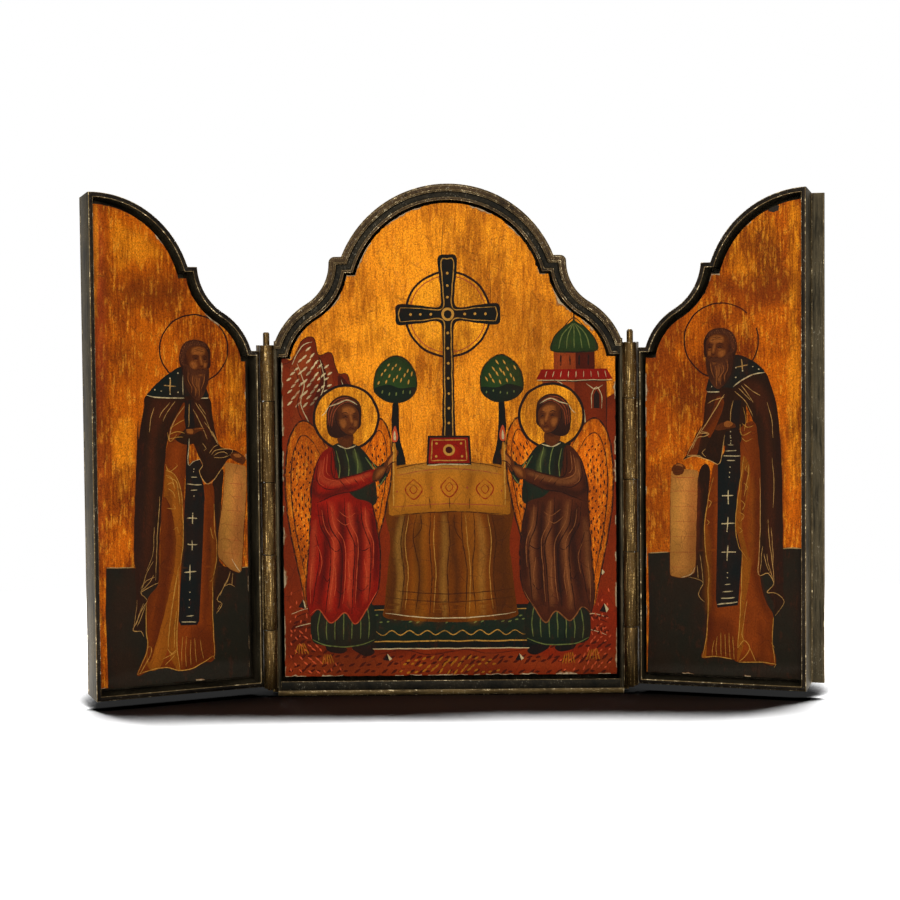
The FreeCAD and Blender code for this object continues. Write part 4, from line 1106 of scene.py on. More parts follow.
# Elder of the left wing, from the hinge axis outward
# darker and redder bands in the gold, and brighter ones that are painted glints of the gold leaf
# painted glints of the gold leaf
# painted glints of the gold leaf
LEFT_ELDER = """
# darker and redder bands in the gold
glaze russet .35 50.8 143.3 48.6 144.4 47.4 136.9 48.2 125.3 47.1 113.2 48.1 100.5 49.1 87.9 51.2 77.8
51.7 90.5 50.6 108.1 51.1 123.2 50.2 133.3 ; .4 50.4 121.2 48.5 122.7 47.8 115.2 49.3 108.1 50.8 112.2
; .35 51 103.1 48.6 105.1 48.2 97 50.1 91 51.1 96.5 ; .3 50.8 81.8 47.6 82.2 47.2 71.9 48.5 62.1
50.5 66.6
shade umber .3 3.4 49.1 118.7 41.6 119.4 33.5 118.5 26.9 119.2
shade red_light .42 4.5 52.1 143.8 52.1 128.3 52.5 108.2 52.6 82.9
shade russet .5 3 51.2 118.2 51.5 98.1 51.7 77.8
shade red_light .25 3.5 52.2 80.7 52.3 61.2 52.3 43.8
glaze bright .45 52.1 141.8 50.8 143.8 50.4 132.3 51.2 118.2 52.5 108.2 52.4 128.3 ; .4 46.1 138.4
41.3 136.9 35.4 134.4 31.1 129.9 32.2 128.4 36 128.9 37.7 126.3 40.9 128.3 43.1 125.3 45.7 127.3
glaze umber .3 43.1 123.3 39.9 125.3 36.7 123.3 33.9 126.3 30.1 123.3 25.8 121.2 22 116.1 25.8 116.6
29.2 113 32.4 116.1 35.8 111.6 39 115.1 41.7 112.1 ; .22 44.6 104 42.9 108.1 40.8 105 38 108 37.1 97.8
38.8 91.7 40.4 96.8 42.2 87.7 43.7 93.9 45.3 92.9
glaze bright .35 46.2 81.6 41 82 41.8 66.2 45.4 59.8 46.7 69.1 / 11.7 98.4 7.1 99.4 6.5 81.6 10.9 76.5
# dark ground with its light upper line
face night 49.9 40.6 3.5 38.4 3.9 -2.1 49.7 -.3 50.3 28.3
glaze ash .4 46.3 9.9 32.3 11 5.8 10.5 5.9 6.1 47 6.5
line dusk .28 49.8 40.7 45.8 40.5 41.6 40.4 / 8.1 38.4 6 38.4 3.7 38.5
# mantle
fill cowl 27.8 96.1 24 97.1 20.7 94.9 19.3 91.6 19.7 88.2 27.4 88.4
fill mantle 36.7 89.5 37.8 85.6 38.7 81 39.3 76.9 39.5 82.5 40 73.8 40.6 64.5 41 56.3 41.4 47.5
41.2 39.3 40.9 31.6 41.4 27.2 42.2 22.3 40.8 21.9 39.6 21.7 38.9 20.4 38.2 24.2 37.5 30.4 39.4 33
34.1 35.5 33.8 43.8 32.8 55.9 31.8 66.9 30.9 75.1 29.4 80.6 29.7 80.7 27.5 85 24.1 88.1 29.6 89.1
/ 25.2 88.6 17.7 88.4 16.4 82.4 14.8 76.7 16.1 80.8 14.8 75.1 12.7 73.5 9.7 72.9 7.6 71.5 7 69.8 8.6 69
11.5 70.5 14.5 66.8 18.5 63.4 20.1 65.3 20.9 67.5 20 68.7 20.6 70.8 22 73.7 24 78.8 23.2 78 24.7 83.2
/ 16.8 63.5 13.4 67.2 14.1 58.4 15.2 47.3 15.3 41.7 13.9 39.3 10.2 36.9 10.2 32.8 11.8 33.7 13.6 33.3
16 29.4 14.4 28.1 16.2 25.5 17.2 30 17.3 42.9
# robe
fill robe 30.9 74.6 27.6 78.9 25.2 81 22.8 78.8 23.8 75.5 24.8 68.9 25.5 58.9 19.5 63.1 16.6 62.7
16.3 55.1 15.8 48.4 15.9 40.6 17.2 35.1 17.3 26.1 17 12.7 20.3 11.4 24 9.8 28 9.4 32.3 10.7 37 10.3
41.1 9.4 38 17 37.7 30.2 34.2 35.2 33.7 43.8 32.7 55.9
fill mantle 29.7 85.9 25.2 87.3 20.8 85.6 19.8 81 20.4 74.8 19.3 75.9 24.1 74.9 27.6 76.1 29.3 79
30.6 79.7
fill robe_light 31.3 67.9 29 66.8 27.1 63.4 26.3 57.8 26.2 48.9 27 41.1 28.8 32.4 30.3 23.6 31.5 16.5
34 11.1 37 10.5 38.1 14.8 35.5 27.3 33.7 35 33.5 43.8 32.4 55.9
fill robe 32.6 59.2 30.3 58 28.8 51.3 28.7 42.4 30.7 32.6 33.9 21.7 36.9 13 37.8 16.4 35.5 27.3 33.7 35
33.3 44.3
fill robe_light 27.9 38.5 29.3 29.1 30.9 20.3 31.4 15.9 29.2 10.4 27.8 9.7 28.5 16.8 28 26.8
glaze robe_deep .6 23.8 21.5 20.2 21.8 17.8 19.4 17.6 13.2 22.8 10.5 26.4 10
# mantle inside at the breast
fill robe 25.2 87.3 27.5 83.8 29.8 79.7 30.7 75.1 30 76.2 27.6 77.2 25.8 78.9 24 81 24.5 82.1
# strip over the robe
face black 24.5 76.6 25.1 69.4 25.5 60 26.7 43.4 28 24 27.3 22.7 22.3 22.5 21.6 23.6 20.4 43.1 19.4 59.7
19.7 63.5 20.3 65.9 20.8 67.5 20 68.7 20.6 70.7 22.7 70.1 24.2 69.3 23.8 77 / 24.9 87.8 22.4 88 22 80
23.2 78.5 24.8 78.5 25.3 83.2
line cream .22 23.9 76.8 24.3 69.3 22.7 70.1 20.5 70.7 ; .3 23.2 55 23.3 52.1 / 24.8 53.7 21.8 53.6
/ 23.5 47.2 23.5 44.4 / 25 46 21.9 45.8 / 24.2 40.1 24.4 35.5 / 26 38.1 22.4 38.1
dots cream .16 22.5 67.8 22.6 67 22.6 61.8 22.7 60 24.4 32.2 24.5 30 24.7 27.8 23.2 55 23.3 52.1
23.5 44.4 24.8 46.1
line cream .24 23.4 65.5 21.6 65.4 ; .26 24.8 63.6 20.2 63.2 ; .24 23.7 61.8 21.6 61.8 / 25.6 25.3
23.4 25.3 ; .28 27.1 23.7 22.6 23.4
# soft light and dark along the folds
shade hair .6 2.4 38.6 81.4 39.2 66.1 39.8 49.7 39.8 33.1
shade brown .5 2 35.2 80.2 35.8 66 36.7 51.7 38.1 38.5
shade hair .5 1.8 21.9 86.7 18.7 81.4 15.9 76.7
shade brown .45 1.5 29.6 87.4 33 82.9 34.7 77.3 ; .45 1.4 22.5 86.2 19.8 80.4 17.6 75.2
shade robe_deep .6 2 30.2 63.5 30.4 49.2 32.5 32.7 35.7 17.4
shade robe_light .5 2 27.9 59 27.8 43.5 30.2 29.2 32.2 17.1
shade robe_deep .5 1.6 18.6 58.6 18.2 46.3 19.1 31.8 20.2 21.8
shade robe_light .4 1.4 17.3 50.7 16.8 40.6 17.9 31.7
glaze brown .5 34.6 88 29.6 87.9 27.5 85.8 31.9 82.3 35.8 80.4 ; .45 22.5 87.8 19.7 87.2 17 80.9
18.2 76.8
# light folds of the mantle
line gilt .22 25.2 86.3 27.5 83.2 29.2 80.2 30.3 76.6 ; .18 29.6 87.4 31.9 84.9 33 82.9 / 28 87.6
30.5 84.6 31.9 81.8 / 34.6 86 35.7 82.4 36.1 78.9 ; .2 21.9 87.2 18.6 82 16.5 77.2 / 22.5 85.2 19.8 79.9
18.2 76.2 ; .16 20.8 86.7 18.6 83.5 ; .22 23.7 86.8 23.8 82.1 24 80.1 ; .2 33.2 60.4 34 51.6 34.5 43.9
34.9 36.1 ; .16 35.1 51.6 35.7 43.9 37.7 39.1 ; .2 35.6 41.7 37.6 38.5 38.7 35.3 39.4 33.1
; .22 34.1 35.4 36.6 34.5 39.4 33 38.4 31.7 37.5 30.6 ; .2 35.5 37.8 36.8 35.7 39.4 33.4 ; .16 34.9 37.2
37.7 36.3 39.5 34.2 ; .22 37.5 30.4 39.5 27.6 40.8 24.9 42 22.3 39.6 21.8 38.9 20.3 ; .16 38.7 29.8
40.2 26.5 41.1 23.8 / 38.1 29.2 39.5 25.9 40.9 23.3 ; .14 40.6 31 41.1 27.2 41.8 23.3 ; .22 20.6 70.7
19.9 68.7 20.9 67.4 20.1 65.2 18.6 63.3 16.7 64.2 14.5 66.8 12.7 69.2 ; .2 17 71.7 16 73 13.3 73.4
10.3 73 11.4 71.4 ; .18 17.7 72.2 16.3 74.1 14.8 74.7 / 16.4 71.4 15 72.3 13 72.5 11.9 71.7
; .16 19.9 75.3 18.7 73.6 19.4 73.1 / 16.6 78.6 15.4 76.3 14.8 74.9 ; .2 19.2 81.4 16.9 78.6 15 74.8
; .16 16.3 71 13.4 70.9 11.6 71.4 ; .2 11.6 37.5 12.4 35.3 13.6 33.3 11.8 33.8 10.3 32.8 / 13.6 33.1
16 29.4 14.4 28.1 16.2 25.3 ; .16 11.7 37 12.7 34.4 14 32.6 15.1 30.4 / 10.8 36.9 11.2 33.4
; .14 14.9 28.1 15.8 26.5
# folds of the robe
line ochre .26 31.3 67.9 28.6 66.5 27 62.8 26.3 57.8 26.2 48.9 27 41.1 27.9 39.3 ; .22 30.9 65.8
28.3 64.6 27.5 61.2 27.1 57.9 ; .26 27.9 39.3 29.2 32.5 30.6 24.2 31.5 16.5 ; .24 27.7 38.5 28.1 26.8
28.7 18 27.8 9.6 ; .2 28.7 26.9 29.3 21.3 29.5 16.3 ; .24 37.8 30.2 38.1 22 37.8 16.4 41 9.6 / 37.8 16.9
36.6 17.1 36.9 14.7 40.2 9.6 ; .26 41 9.5 37 10.4 32.3 10.8 28 9.5 24 9.8 20.3 11.5 17.4 13 17 12.1
; .22 16.4 57.4 16.4 50.7 15.8 46.2 16 40.6 17.2 35.5 18.2 35 / 17.2 35.1 17.4 26.1 17.1 17.7 17 12.8
; .18 17.6 50.7 17.2 48.5 16.8 47.3 ; .2 31.3 69.6 30.1 67.4 27.7 69 28.3 69.8 ; .18 31.3 66.3 29.6 65.7
28.7 62.9 / 30.8 63.6 29.3 64.1 28.6 62.4 / 30.7 62.5 29.1 61.3 28.4 59.6 / 31.1 56.9 28.5 56.7 29.1 58
; .16 29.2 50.5 28 51.3 27.7 49.6 ; .2 33.2 13.3 31 14.2 29.2 14.9 28.8 15.7 / 32.3 11.5 30.5 13.1
29.3 14.4 ; .18 31.7 16.2 30.4 14.7 28.9 15.7 ; .14 25.6 19.4 26 15.5 25.9 10.5 / 24.4 18.2 24.5 14.8
24.4 10.9 / 23.2 18.7 23 15.3 22.7 11.4 / 26.8 19.5 27.2 15.6 27.2 10.6 / 21.4 18 20.9 14.6 20.3 12.3
; .2 30.6 76.8 28.2 77.2 25.8 77.2 / 30 78.1 27.6 78.9 25.2 78.3 / 30.6 78.7 29.8 76.1 27.6 78.1
; .18 29.8 79.7 27.5 81.2 25.3 82.2
# hands
fill skin 25 78.8 22.8 79.6 19.8 79.8 19.3 79.1 21.1 78.6 22.9 77.9 24.5 78.1
fill skin_light 24.8 79.4 22.8 79.5 22.8 78.2 24.5 78.5
line skin_light .2 22.2 79.4 19.2 79.5
fill skin 11.1 71.9 9.1 72.3 7 71.2 6.2 70 7.1 68.6 9 69.3 10.6 70.3
fill skin_light 10.2 71.7 8.5 71.8 7.6 70.9 9.1 70.7
line skin_deep .16 9 70.5 7.2 69.9 ; .14 9.3 70 7.6 69.2
# scroll
fill parchment 12.7 69.3 9.8 68.8 7 68.2 6 66.9 6.3 59.2 7.2 48 8.1 37.4 8.9 36.8 12 38.3 14.3 40.7
15.5 42.8 15 50.6 13.7 59.5 13 66.2
shade rust .3 3 8.6 67.7 8.7 57 9.5 45.8 10.8 39.2
shade ochre .35 2.4 11.4 65 12.4 55 13.4 43.8
line rust .16 11.9 63.3 6.7 62.8 ; .12 12.2 59.7 6.8 59 / 12.8 55.5 7.1 54.7 / 13.3 51.4 7.4 50.4
/ 13.9 47.2 7.7 46.1 / 14.3 43.3 8 42
line robe_deep .2 12.7 69.3 13.6 59.5 15 50.6 15.5 42.8 14.3 40.7 12 38.3 8.8 36.8 8.1 37.5 7.2 48
6.3 59.2 6 66.9
line cream .22 11.1 41 9.9 39 8.4 37
# cowl with its cross
fill cowl 26.3 97.5 28.9 96.3 32.8 93.6 35.8 90.7 36.7 89.5 34 88.9 29.6 88.5 25.2 88.5 24 92.4
25.1 96.6 / 19.9 91.7 18.7 92.3 18 90.2 17.7 88.4 21 88.3 20.8 89.8
line cream .3 36.7 89.5 34 88.9 29.6 88.6 25.2 88.5 / 21 88.3 17.7 88.3 ; .22 25.1 97.1 25.6 93.5
25.5 89.3
line gilt .34 29.4 94.2 29.6 89.6 ; .3 31.3 92.2 27.8 92
dots cream .22 27.1 95.7 27.1 90.1 34.1 91.1 29.5 94.2 29.6 89.7 ; .16 32.3 90.6 19.1 90
"""
# Halo of the right wing, broken where it is rubbed off
RIGHT_HALO = """
ring ink .42 26.9 103.6 11 -28 20 .985 / 26.9 103.6 11 46 250 .985 / 26.9 103.6 11 300 332 .985
"""
# Elder of the right wing, from the hinge axis outward
# darker and redder bands in the gold, and brighter ones that are painted glints of the gold leaf
# painted glints of the gold leaf
# painted glints of the gold leaf
RIGHT_ELDER = """
# darker and redder bands in the gold
glaze umber .42 27.9 122.4 50 121.5 50 115.4 41.6 114.5 31.1 116.7 25.8 118.8
glaze russet .3 23.7 119.9 41.6 118.6 46.8 116.5 39.5 111.5 27.9 113.7 ; .45 4.8 103.5 11.3 106.6
16.2 113.8 19.4 116.8 15.1 106.5 11.8 96.2 11.2 80.5 10.7 80.5 11.3 77.2 4.9 69.2 3.8 77.1
glaze bright .45 46.8 141.9 49.7 141.3 50 123.6 48.8 106.3 47.3 106.3 46.8 123.6 ; .4 47.3 104.3
49.9 106.3 50.1 80.8 48.3 75.6 46.7 85.9 ; .35 31.1 135.7 41.6 139 43.7 123.7 31.1 122.9 29 128
/ 39.5 131.9 41.6 131.9 41.8 124.7 39.9 123.7
glaze umber .25 23.6 88.9 16.6 80.5 13.9 75.3 12.3 85.7 16.6 88.9
glaze bright .35 46.5 79.6 49.9 80.2 49.8 63.2 47.6 62.6
glaze umber .3 4.9 63.6 10.7 64.8 10.6 44.6 4.2 43.3
face ash 40.6 141.5 41.9 142.4 44 142 43.8 140.7 42.4 140.2 41 140.4
# dark ground with its light upper line
face night 4.6 41.3 11.2 41.7 44.8 43.9 50.7 43.9 51.1 -.8 4 -3.2 4.9 24.1
shade ash .5 3 4.8 7.1 22 7.2 36.9 7.9 51 9.4
line dusk .28 4.8 41.4 8 41.6 10.9 41.7 ; .34 44.9 43.7 47.6 44 50.7 43.9
# mantle
fill cowl 25.2 95.1 31 99.2 33.1 93.5 31 88.9 25.7 88.4
fill mantle 25.2 89.1 31 89.4 34.2 85.8 33.1 75.5 25.7 73.3 23 78.5 / 39.7 94.6 41.5 91 43.1 85.8
43.9 79.7 44.3 74.6 44.1 79.6 44.5 71.9 44.9 61.5 45 53.2 45.1 44.4 45.1 35 45.2 31.1 45.4 28.2
42.7 24.1 42.5 27.7 40.3 30.9 42.3 33.4 40.9 36.5 38 36.1 38.2 53.1 38.4 64.1 37.9 74.1 36.6 80.1
37.5 76.6 35.8 81.7 33.2 86.8 30.5 89.7 33.1 92 36.3 93.7 / 22.8 88.7 22 84.2 21.4 79.5 19.7 75.9
20.9 78.9 18.8 75 17.2 71.3 15.6 69 18.8 70 23.4 68.9 26.4 68.1 28.3 77.3 29.1 80.1 28.9 80.6 30.5 89.4
26.8 88.8 / 20 64.4 23.5 66.2 22 49.4 22.4 41.5 23 37.1 22.7 30.3 21.8 27.7 19.9 29.6 21.3 33 18.1 34.6
19.1 41.4
# robe
fill robe 26.6 68.1 24.5 67.3 22.9 58.3 21.8 49.9 22.1 42.1 23 37.1 22.6 21.9 21.7 14.6 20.8 11.1
25.5 11.6 30 11 31.9 10.2 38 10.4 42.8 10.1 41.9 16.5 42.3 24 40.3 27.6 38.3 35.3 38.4 53.1 38.5 64.1
37.9 74.1 36.6 80.1 32.5 78.4 30.2 74
fill robe_light 33 69.8 35.1 68 35.3 62.4 33.6 54.1 33 49.6 34.7 41.9 35.8 38.6 33.5 25.1 33.5 16.8
31.7 10.4 31.6 15 32.6 30.7 33 41.8 31.4 49.6 32 59.6
fill robe 33.6 66.3 34.7 65.2 34.2 58.5 33 52.9 32.7 57.4
glaze robe_deep .55 23.2 21.4 25.5 22.6 30.1 21.7 31.2 12.2 25.5 11.9 22 11.8
fill robe_light 22.1 41.5 23.3 36 23 24.7 22 14.6 21.2 11.3 22 11.5 22.7 19.1 23.5 30.4 23.5 37.1
# mantle fold at the sleeve
fill robe 25.7 87.3 23.6 81.6 20.3 76.9 18.7 73.3 19.7 77.2 18.2 73.9 16.5 70.5 19.4 70.2 20.5 73.9
21.7 77.2 23.5 75.4 25.7 79.6 27.8 85.8
fill mantle 27.8 87.9 30.5 88.9 29.9 80.6 27.8 76.5 25.7 72.3 25.7 78.4 22.2 72.2 23.4 69.5 26.4 68.3
28.3 77.3 28.9 79.6
# strip over the robe
face black 28.3 77.3 27.9 71.7 25.8 67.8 25.7 52.8 25.1 28.2 25.6 26 31.7 26.7 32 28.4 33 41.8 31.1 49.6
31.6 59.6 32.6 64 32.6 70.1 32.3 77.9 / 30.5 86.3 32.8 86.3 32.3 80.6 32 76.5 29.4 76.5 29.9 80.6
fill black 29.7 76.5 32 76.5 32.7 77.3 32.5 74 28.2 74 28.3 77.3
dots cream .18 29.7 75.5 29.7 73.9 ; .17 29.6 77.2 29.6 76 29.8 74.6 29.5 67 29.4 65.4 29.3 64.1
28.6 36.2 28.6 34.7
line cream .24 28.8 73.4 30.5 73.4 ; .26 28 71.6 31.5 71.8 ; .28 27.5 70.2 32.6 70.2 ; .24 28.5 68.9
31 69 ; .3 28.9 60.3 28.9 56.2 / 27.2 58.5 30.5 58.7 / 28.8 52.5 28.5 48.2 / 27.1 50.5 30.8 50.7
/ 28.8 44.3 28.6 39.9 / 26.9 42.2 30.9 42.4 ; .26 27.8 32.7 29.5 32.9 ; .28 27.2 30.6 30.2 30.9
; .3 26.7 28.6 30.7 29 ; .34 25.6 26.9 31.7 27.7
dots cream .2 28.9 56.3 28.5 48.3 28.6 40 27.2 58.5 27.1 50.5 30.9 42.4
# soft light and dark along the folds
shade hair .6 2.4 44.1 77.4 44.3 64.2 44 49.9 43.9 33.3
shade brown .5 2 40.5 77.4 41.2 64.2 41.3 49.8 41.5 36.5 ; .45 1.6 34.2 89.4 38.4 84.3 41 77.1
shade hair .5 1.8 26.8 86.3 24.1 80.6 20.3 75.9
shade brown .45 1.4 21.1 75 19.4 72.2 18.2 70.5
shade robe_deep .6 2 24.5 57.2 23.6 44.9 23.7 30.4 22.6 14.6
shade robe_light .5 1.8 22.5 49.4 22.9 38.2 22.8 24.7
shade robe_deep .55 2 37 66.3 37.2 54.1 36.6 38.6 40.8 23.2
shade robe_light .4 1.6 36 64.1 35.8 51.9 35.7 38.6
shade robe_deep .45 1.6 38 23.1 38.6 17 39.1 12
glaze brown .5 33.1 91 37.3 91.5 40.5 87.9 41.5 82.8 38.4 84.8 ; .45 23.6 86.8 27.8 87.9 25.7 82.7
21.4 78
# light folds of the mantle
line gilt .22 31 88.9 34.2 85.8 36.3 81.7 ; .2 32.1 89.9 35.7 86.3 / 33.6 91.2 36.3 88.9 38.4 87.8
; .18 32.9 90.7 34.7 88.4 36.3 85.8 ; .2 30.5 86.3 29.9 83.7 29.5 79.6 ; .24 27.8 88.1 25.7 84.7
22.5 79.5 20.3 76.4 ; .2 27.8 87.3 24.6 86.3 22.9 85.3 ; .22 20.3 76.8 21.4 77.1 23.3 76.5 21.9 75.8
19.8 75.4 18.2 72.2 ; .2 21.1 78.3 19.4 75.5 17.6 72.2 16.7 70.3 / 20.5 76.6 22.2 76.7 22.8 76.4
; .24 15.7 69 18.8 70.1 23.4 68.9 26.4 68.1 27.9 76.2 ; .2 16.5 69.9 17.6 70.3 20.5 70.2 21.6 69.1
; .16 22.2 72.2 21.1 71.1 22.2 70 ; .2 38.3 64.1 38.4 53.1 38.2 45.3 37.9 36.1 40.6 36.5 42.3 33.4
40.3 30.8 43 30.7 45.3 28.3 42.8 24.2 ; .18 39 44.2 38.6 39.8 38.4 36.6 / 40.7 52 41.1 45.4 42 38.8
42.4 33.8 ; .16 40.3 42 40.9 38.7 42 34.9 / 39.5 42 40.3 38.7 41.2 36.5 / 41.6 49.8 42 44.3 42.1 38.8
; .2 17 34.6 19.3 34.2 21.3 33 19.9 29.6 21.7 27.5 ; .18 20.4 41.5 21.1 36.5 21.3 33.1 ; .16 19.5 38.1
19.9 34.2 / 40.5 85.8 41.8 80.7 42.1 75.6 ; .14 42 69.7 42.4 62 42.1 55.4
# folds of the robe
line ochre .26 24.5 63.9 23.1 58.3 21.9 49.9 22.1 42.1 23 37.1 22.9 30.3 22.7 21.9 21.8 14.6 20.9 11.2
; .24 33.6 70.1 32.7 64 31.5 56.2 31.1 49.6 31.8 44.6 33.1 42.4 34.7 40.2 / 33 41.8 32.7 30.7 32.1 20.6
31.6 14.4 ; .2 35.1 67.8 34.7 64.1 33.6 58.5 ; .18 34.5 67.4 33.9 66.2 34.7 65.7 ; .16 33.6 62.4
34.7 61.3 33.9 60.1 / 32.7 57.4 33.8 56.3 33 54.6 / 32.2 54 33.6 53 32.6 51.3 ; .18 32 49.6 33.1 48.7
32.2 47.9 / 22.9 57.2 23.9 56.7 23 55 ; .16 22.5 51.6 23.3 50.8 22.6 49.9 ; .24 20.9 11.2 25.5 11.6
30 11 ; .26 31.9 10.2 38 10.5 43 10.1 42.5 9.2 ; .22 31.6 14.4 33.5 16.6 35.2 14.6 33.5 11.7 31.9 10.4
; .2 35.2 14.6 36.3 12.4 37 10.7 / 33.5 21.8 32.9 18.4 33.5 16.8 ; .18 34.5 28.5 33.8 24.6 33.5 21.8
; .22 42.3 23.8 41.9 17.1 42.6 10.5 ; .18 41.5 16.5 42.5 14.9 ; .14 25.5 17.5 25.2 14.2 25.4 11.9
/ 26.6 18.7 26.6 14.8 26.7 11.7 / 27.8 18.2 27.9 14.3 28.1 11.4 / 29 18.8 29.1 14.9 29.4 11.2
/ 30.2 17.7 30.4 14.4 30.6 11 / 24.6 16.4 24.1 13.6 24 11.6 ; .2 32.5 79.5 33 76.2 35.9 77.4 / 33.1 79.6
34.7 78.6 36.3 79.1 / 32.9 75.5 34.1 74.5 36.2 75.5 ; .18 33.4 84.3 34.2 80.7 33.7 77.6
# hands
fill skin 25.1 78.5 27.8 80.1 31 79.6 31.3 78.6 28.9 78 25.7 77.5
fill skin_light 27.8 80 29 80.4 30.5 79.6 29.3 78.5 27.8 78.8
fill skin 12 66.5 13.6 67.9 15.5 67.6 16.2 65.9 15.3 64.3 13.6 63.7 12.2 64.3
fill skin_light 13.2 67.5 14.9 67.8 15.3 66.8 13.7 66.7
line skin_deep .16 12.4 65.5 14.8 65.7 ; .14 12.6 64.8 14.6 64.9
# scroll
fill parchment 11.7 64.2 12.4 65.5 15.3 66.1 18.8 66.1 20 65.4 19.9 63.8 19.5 52.7 19.1 38.1 18 35.4
15.2 34.3 12.4 34.6 11.3 36 11.4 44.6 11.5 52.5
fill skin 12.2 66.5 13.6 67.3 15.1 66.9 15.7 65.9 15.2 64.7 13.6 64.3 12.4 64.8
line skin_deep .16 12.8 65.9 15 66.1 ; .14 12.8 65.2 14.8 65.3
shade rust .3 3 18.5 63.8 18.3 52.6 17.7 39.2
shade ochre .3 2.4 13.3 62.6 13.2 51.4 13.1 37.9
line rust .16 11.9 59.7 19.7 59.9 ; .12 11.8 55.2 19.4 55.3 / 11.8 50.7 19.3 51 / 11.6 46.3 19.2 46.5
/ 11.6 41.6 19 42 / 11.6 37.3 18.7 37.6
line robe_deep .2 19.8 63.8 19.5 52.7 19.1 38.1 18 35.4 15.2 34.3 12.4 34.6 11.3 36 11.4 44.6 11.5 52.5
11.7 63.7
line rust .2 12.4 63.7 18.8 63.7
line cream .2 14.7 34.4 17.8 35.5 18.8 37.5
# cowl with its cross
fill cowl 31.3 99.5 34.2 98.8 37.3 97.1 39.7 94.6 35.8 93.7 32.6 92 30.6 90.1 30 93.5 29.3 98.2
/ 23.6 93 22.8 91 22.6 88.8 26.2 88.8 25.5 92
line cream .34 39.7 94.5 35.8 93.6 32.6 91.9 30.5 90.1 ; .32 22.6 88.8 26.3 88.8
line gilt .32 32.9 98.2 33.3 94.9 ; .3 31.2 95.9 34.8 96.6
dots cream .22 38 95.4 31.2 92.9 31.3 95.8 33.3 94.9 29.2 97.1 ; .16 24.1 90.4 36.3 96.1
"""


# Pieces
# What counts as one point, as flat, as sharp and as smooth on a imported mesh
WELD = 0.002 * MM
FLAT_ANGLE = math.radians(1.0)
SHARP_ANGLE = math.radians(32.0)
SMOOTH_ANGLE = math.radians(40.0)
# How finely a painted ground is cut up and how far its marks fade, in millimetres
EDGE_STEP = 0.9
FINE_STEP = 0.3
SMALL_BLUR = 1.3
BODY_REACH = 4.4
# How many spots are weighed at once, and how many lengths a strip is cut into
BATCH = 4000
STRIP_CUTS = 40


def alone() -> None:
    """Deselect everything, so that an operator acts on nothing unmeant."""
    bpy.ops.object.select_all(action="DESELECT")


def pick(piece: bpy.types.Object) -> None:
    """Make one piece the only one that is selected, and active.

    Args:
        piece: the piece.
    """
    alone()
    piece.select_set(True)
    bpy.context.view_layer.objects.active = piece


def middle_of(points: Line) -> Point:
    """The mean of some points."""
    return tuple(sum(values) / len(points) for values in zip(*points))


